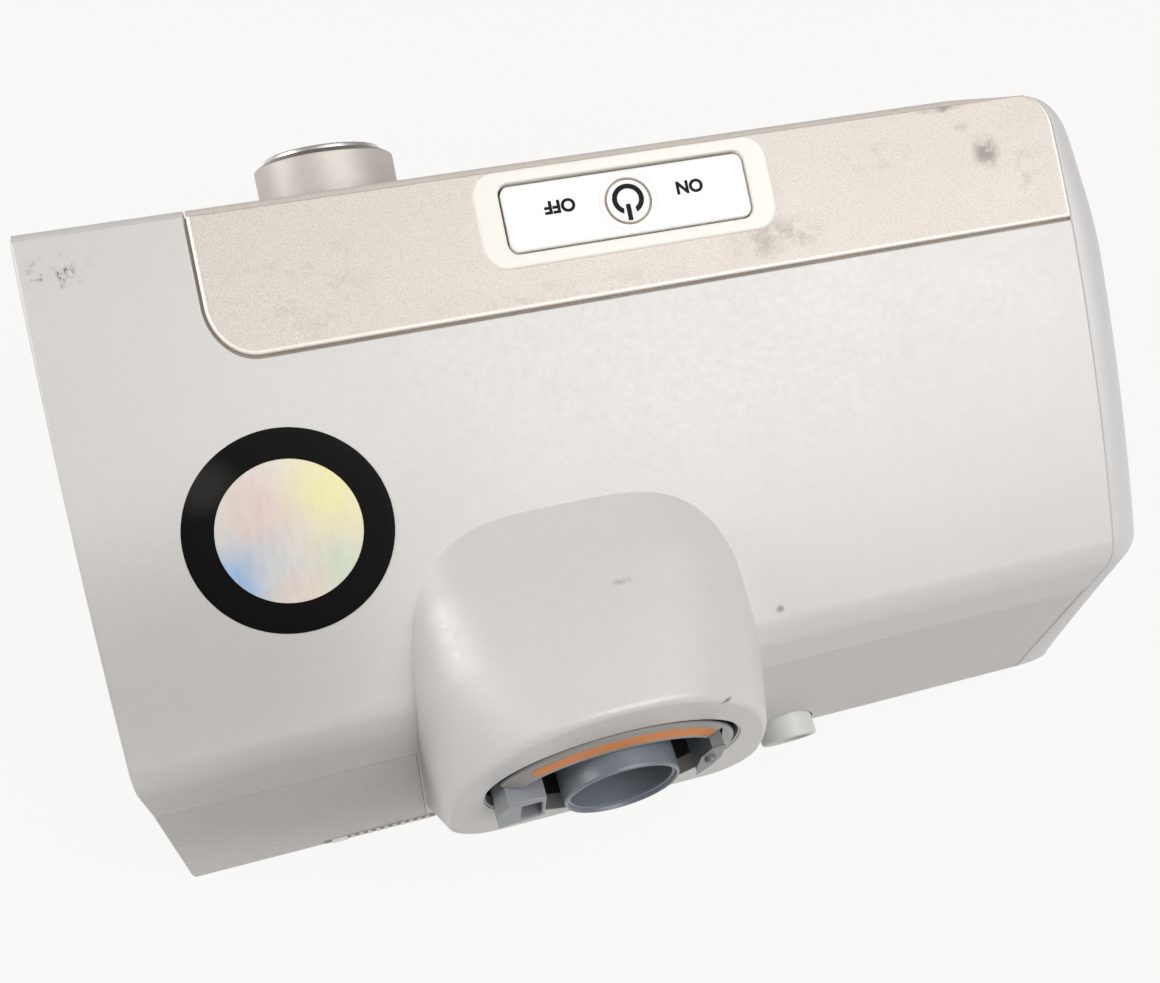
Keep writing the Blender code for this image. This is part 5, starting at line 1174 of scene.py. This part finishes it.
def build_sticker():
    """Round sticker of a black ring about a pearly foil, bent over the curved top."""
    middle = (0.0663, crown_length(0.0465))
    outer, inner, high = 0.0179, 0.0125, 0.00012

    def circle(radius, depth):
        angles = [2 * math.pi * index / 160 for index in range(160 if radius else 1)]
        return [along_crown(middle[0] + radius * math.cos(angle), middle[1] + radius * math.sin(angle), depth)
                for angle in angles]
    bm = bmesh.new()
    steps = [(inner * share, high * 0.9) for share in spread(0, 1, 8)] + [(inner, 0.00002)]
    rows = [[bm.verts.new(point) for point in circle(*step)] for step in steps]
    skin(bm, rows, False)
    bm.faces.new(rows[-1])
    dress(add_object("sticker_foil", bm), sticker_foil, "shell", sharp=60)
    steps = [(inner + 0.00002, 0.00002), (inner + 0.00002, high)]
    steps += [(inner + (outer - inner) * share, high) for share in spread(0, 1, 4)[1:]]
    steps += [(outer + 0.00005, 0.00006), (outer + 0.00005, 0.00002)]
    ring = loft("sticker_ring", [circle(*step) for step in steps], closed=True)
    dress(ring, sticker_black, "shell", sharp=60)


# CAD nodes that keep their shape and get a better material
kept = ((board_black, "start_switch lcd_module encoder_plunger home_switch card_socket"),
        (board_green, "button_board display_board main_board"),
        (steel, "encoder_shaft encoder_body motor base_screw_1 base_screw_2 base_screw_3"),
        (liner_paint, "outlet_elbow bay_liner filter_holder"),
        (silicone, "heater_gasket port_seal_1 port_seal_2 blower_pipe"),
        (base_paint, "blower_base blower_cover"), (plate_white, "impeller"),
        (rubber, "blower_mount_1 blower_mount_2 blower_mount_3 foot_1 foot_2 foot_3 foot_4"),
        (foam, "muffler_foam"), (filter_felt, "air_filter"), (heater_steel, "heater_plate"),
        (brass, "inlet_pin"))


def dress_kept():
    for material, names in kept:
        for name in names.split():
            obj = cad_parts[name]
            if not obj.material_slots:
                obj.data.materials.append(material)
            for slot in obj.material_slots:
                slot.material = material


def fill(node, colour, strength):
    node.inputs["Color"].default_value = colour
    node.inputs["Strength"].default_value = strength
    return node.outputs[0]


def join_shaders(tree, rays, factor, first, second, output):
    """The second shader for these kinds of rays, by a factor, and the first for all others."""
    path = tree.nodes.new("ShaderNodeLightPath")
    share = path.outputs[rays[0]]
    steps = [("MAXIMUM", path.outputs[ray]) for ray in rays[1:]] + [("MULTIPLY", factor)]
    for operation, value in steps:
        node = tree.nodes.new("ShaderNodeMath")
        node.operation = operation
        tree.links.new(share, node.inputs[0])
        if isinstance(value, float):
            node.inputs[1].default_value = value
        else:
            tree.links.new(value, node.inputs[1])
        share = node.outputs[0]
    join = tree.nodes.new("ShaderNodeMixShader")
    for socket, source in zip(join.inputs, (share, first, second)):
        tree.links.new(source, socket)
    tree.links.new(join.outputs[0], tree.nodes[output].inputs[0])


# Floor, light and camera
def build_stage():
    """A paper floor and a white room, both near white where the camera sees them."""
    bm = bmesh.new()
    bmesh.ops.create_grid(bm, x_segments=8, y_segments=8, size=1.6)
    floor = add_object("floor", bm)
    n = Nodes("floor_paper")
    n.finish(rgb(186, 185, 183), None, 0.9, n.bump(n.noise(700.0, 2.0), 0.1, 0.00005))
    glow = fill(n.tree.nodes.new("ShaderNodeEmission"), (1.0, 0.995, 0.985, 1.0), 1.0)
    join_shaders(n.tree, ("Is Camera Ray", "Is Glossy Ray", "Is Transmission Ray"), 0.91,
                 n.shader.outputs[0], glow, "Material Output")
    floor.data.materials.append(n.material)
    world = bpy.data.worlds.new("studio")
    scene.world = world
    world.use_nodes = True
    tree, white = world.node_tree, (1.0, 1.0, 1.0, 1.0)
    soft = fill(tree.nodes["Background"], white, 0.24)
    bright = fill(tree.nodes.new("ShaderNodeBackground"), white, 1.0)
    join_shaders(tree, ("Is Camera Ray", "Is Transmission Ray"), 1.0, soft, bright, "World Output")


def area_light(name, place, target, size, power, colour=(1.0, 1.0, 1.0)):
    data = bpy.data.lights.new(name, "AREA")
    data.shape = "RECTANGLE"
    data.size, data.size_y = size
    data.energy = power
    data.color = colour
    lamp = bpy.data.objects.new(name, data)
    direction = Vector(place) - Vector(target)
    lamp.matrix_world = Matrix.Translation(place) @ direction.to_track_quat("Z", "Y").to_matrix().to_4x4()
    scene.collection.objects.link(lamp)


def build_camera():
    data = bpy.data.cameras.new("view")
    data.sensor_width, data.lens = 36.0, 35.52
    camera = bpy.data.objects.new("view", data)
    right, up, back = (-0.96002, 0.2733, 0.06063), (-0.19717, -0.81386, 0.54658), (0.19872, 0.51277, 0.83521)
    turn = Matrix((right, up, back)).transposed().to_4x4()
    camera.matrix_world = Matrix.Translation((0.05616, 0.13477, 0.25683)) @ turn
    scene.collection.objects.link(camera)
    scene.camera = camera


build_top_shell()
build_strip()
build_surround()
build_lip("strip_lip", SIDE_X + 0.0045, STRIP_END, strip_paint, "strip")
build_lip("hood_lip", STRIP_END + 0.0004, HOOD_X - 0.0003, shell_paint, "shell")
build_start_button()
build_bottom_shell()
build_side()
build_side_door("card_cover", "card_door", 0)
build_side_door("filter_cover", "filter_door", 6)
build_front()
build_dial()
build_home()
build_outlet()
build_inlet()
build_sticker()
dress_kept()
build_stage()
area_light("key", (-0.36, 0.44, 0.88), (0, 0, 0.05), (0.9, 0.9), 8.6)
area_light("side", (0.75, -0.12, 0.42), (0, 0, 0.06), (0.3, 0.4), 2.8)
build_camera()
scene.view_settings.view_transform = "Standard"
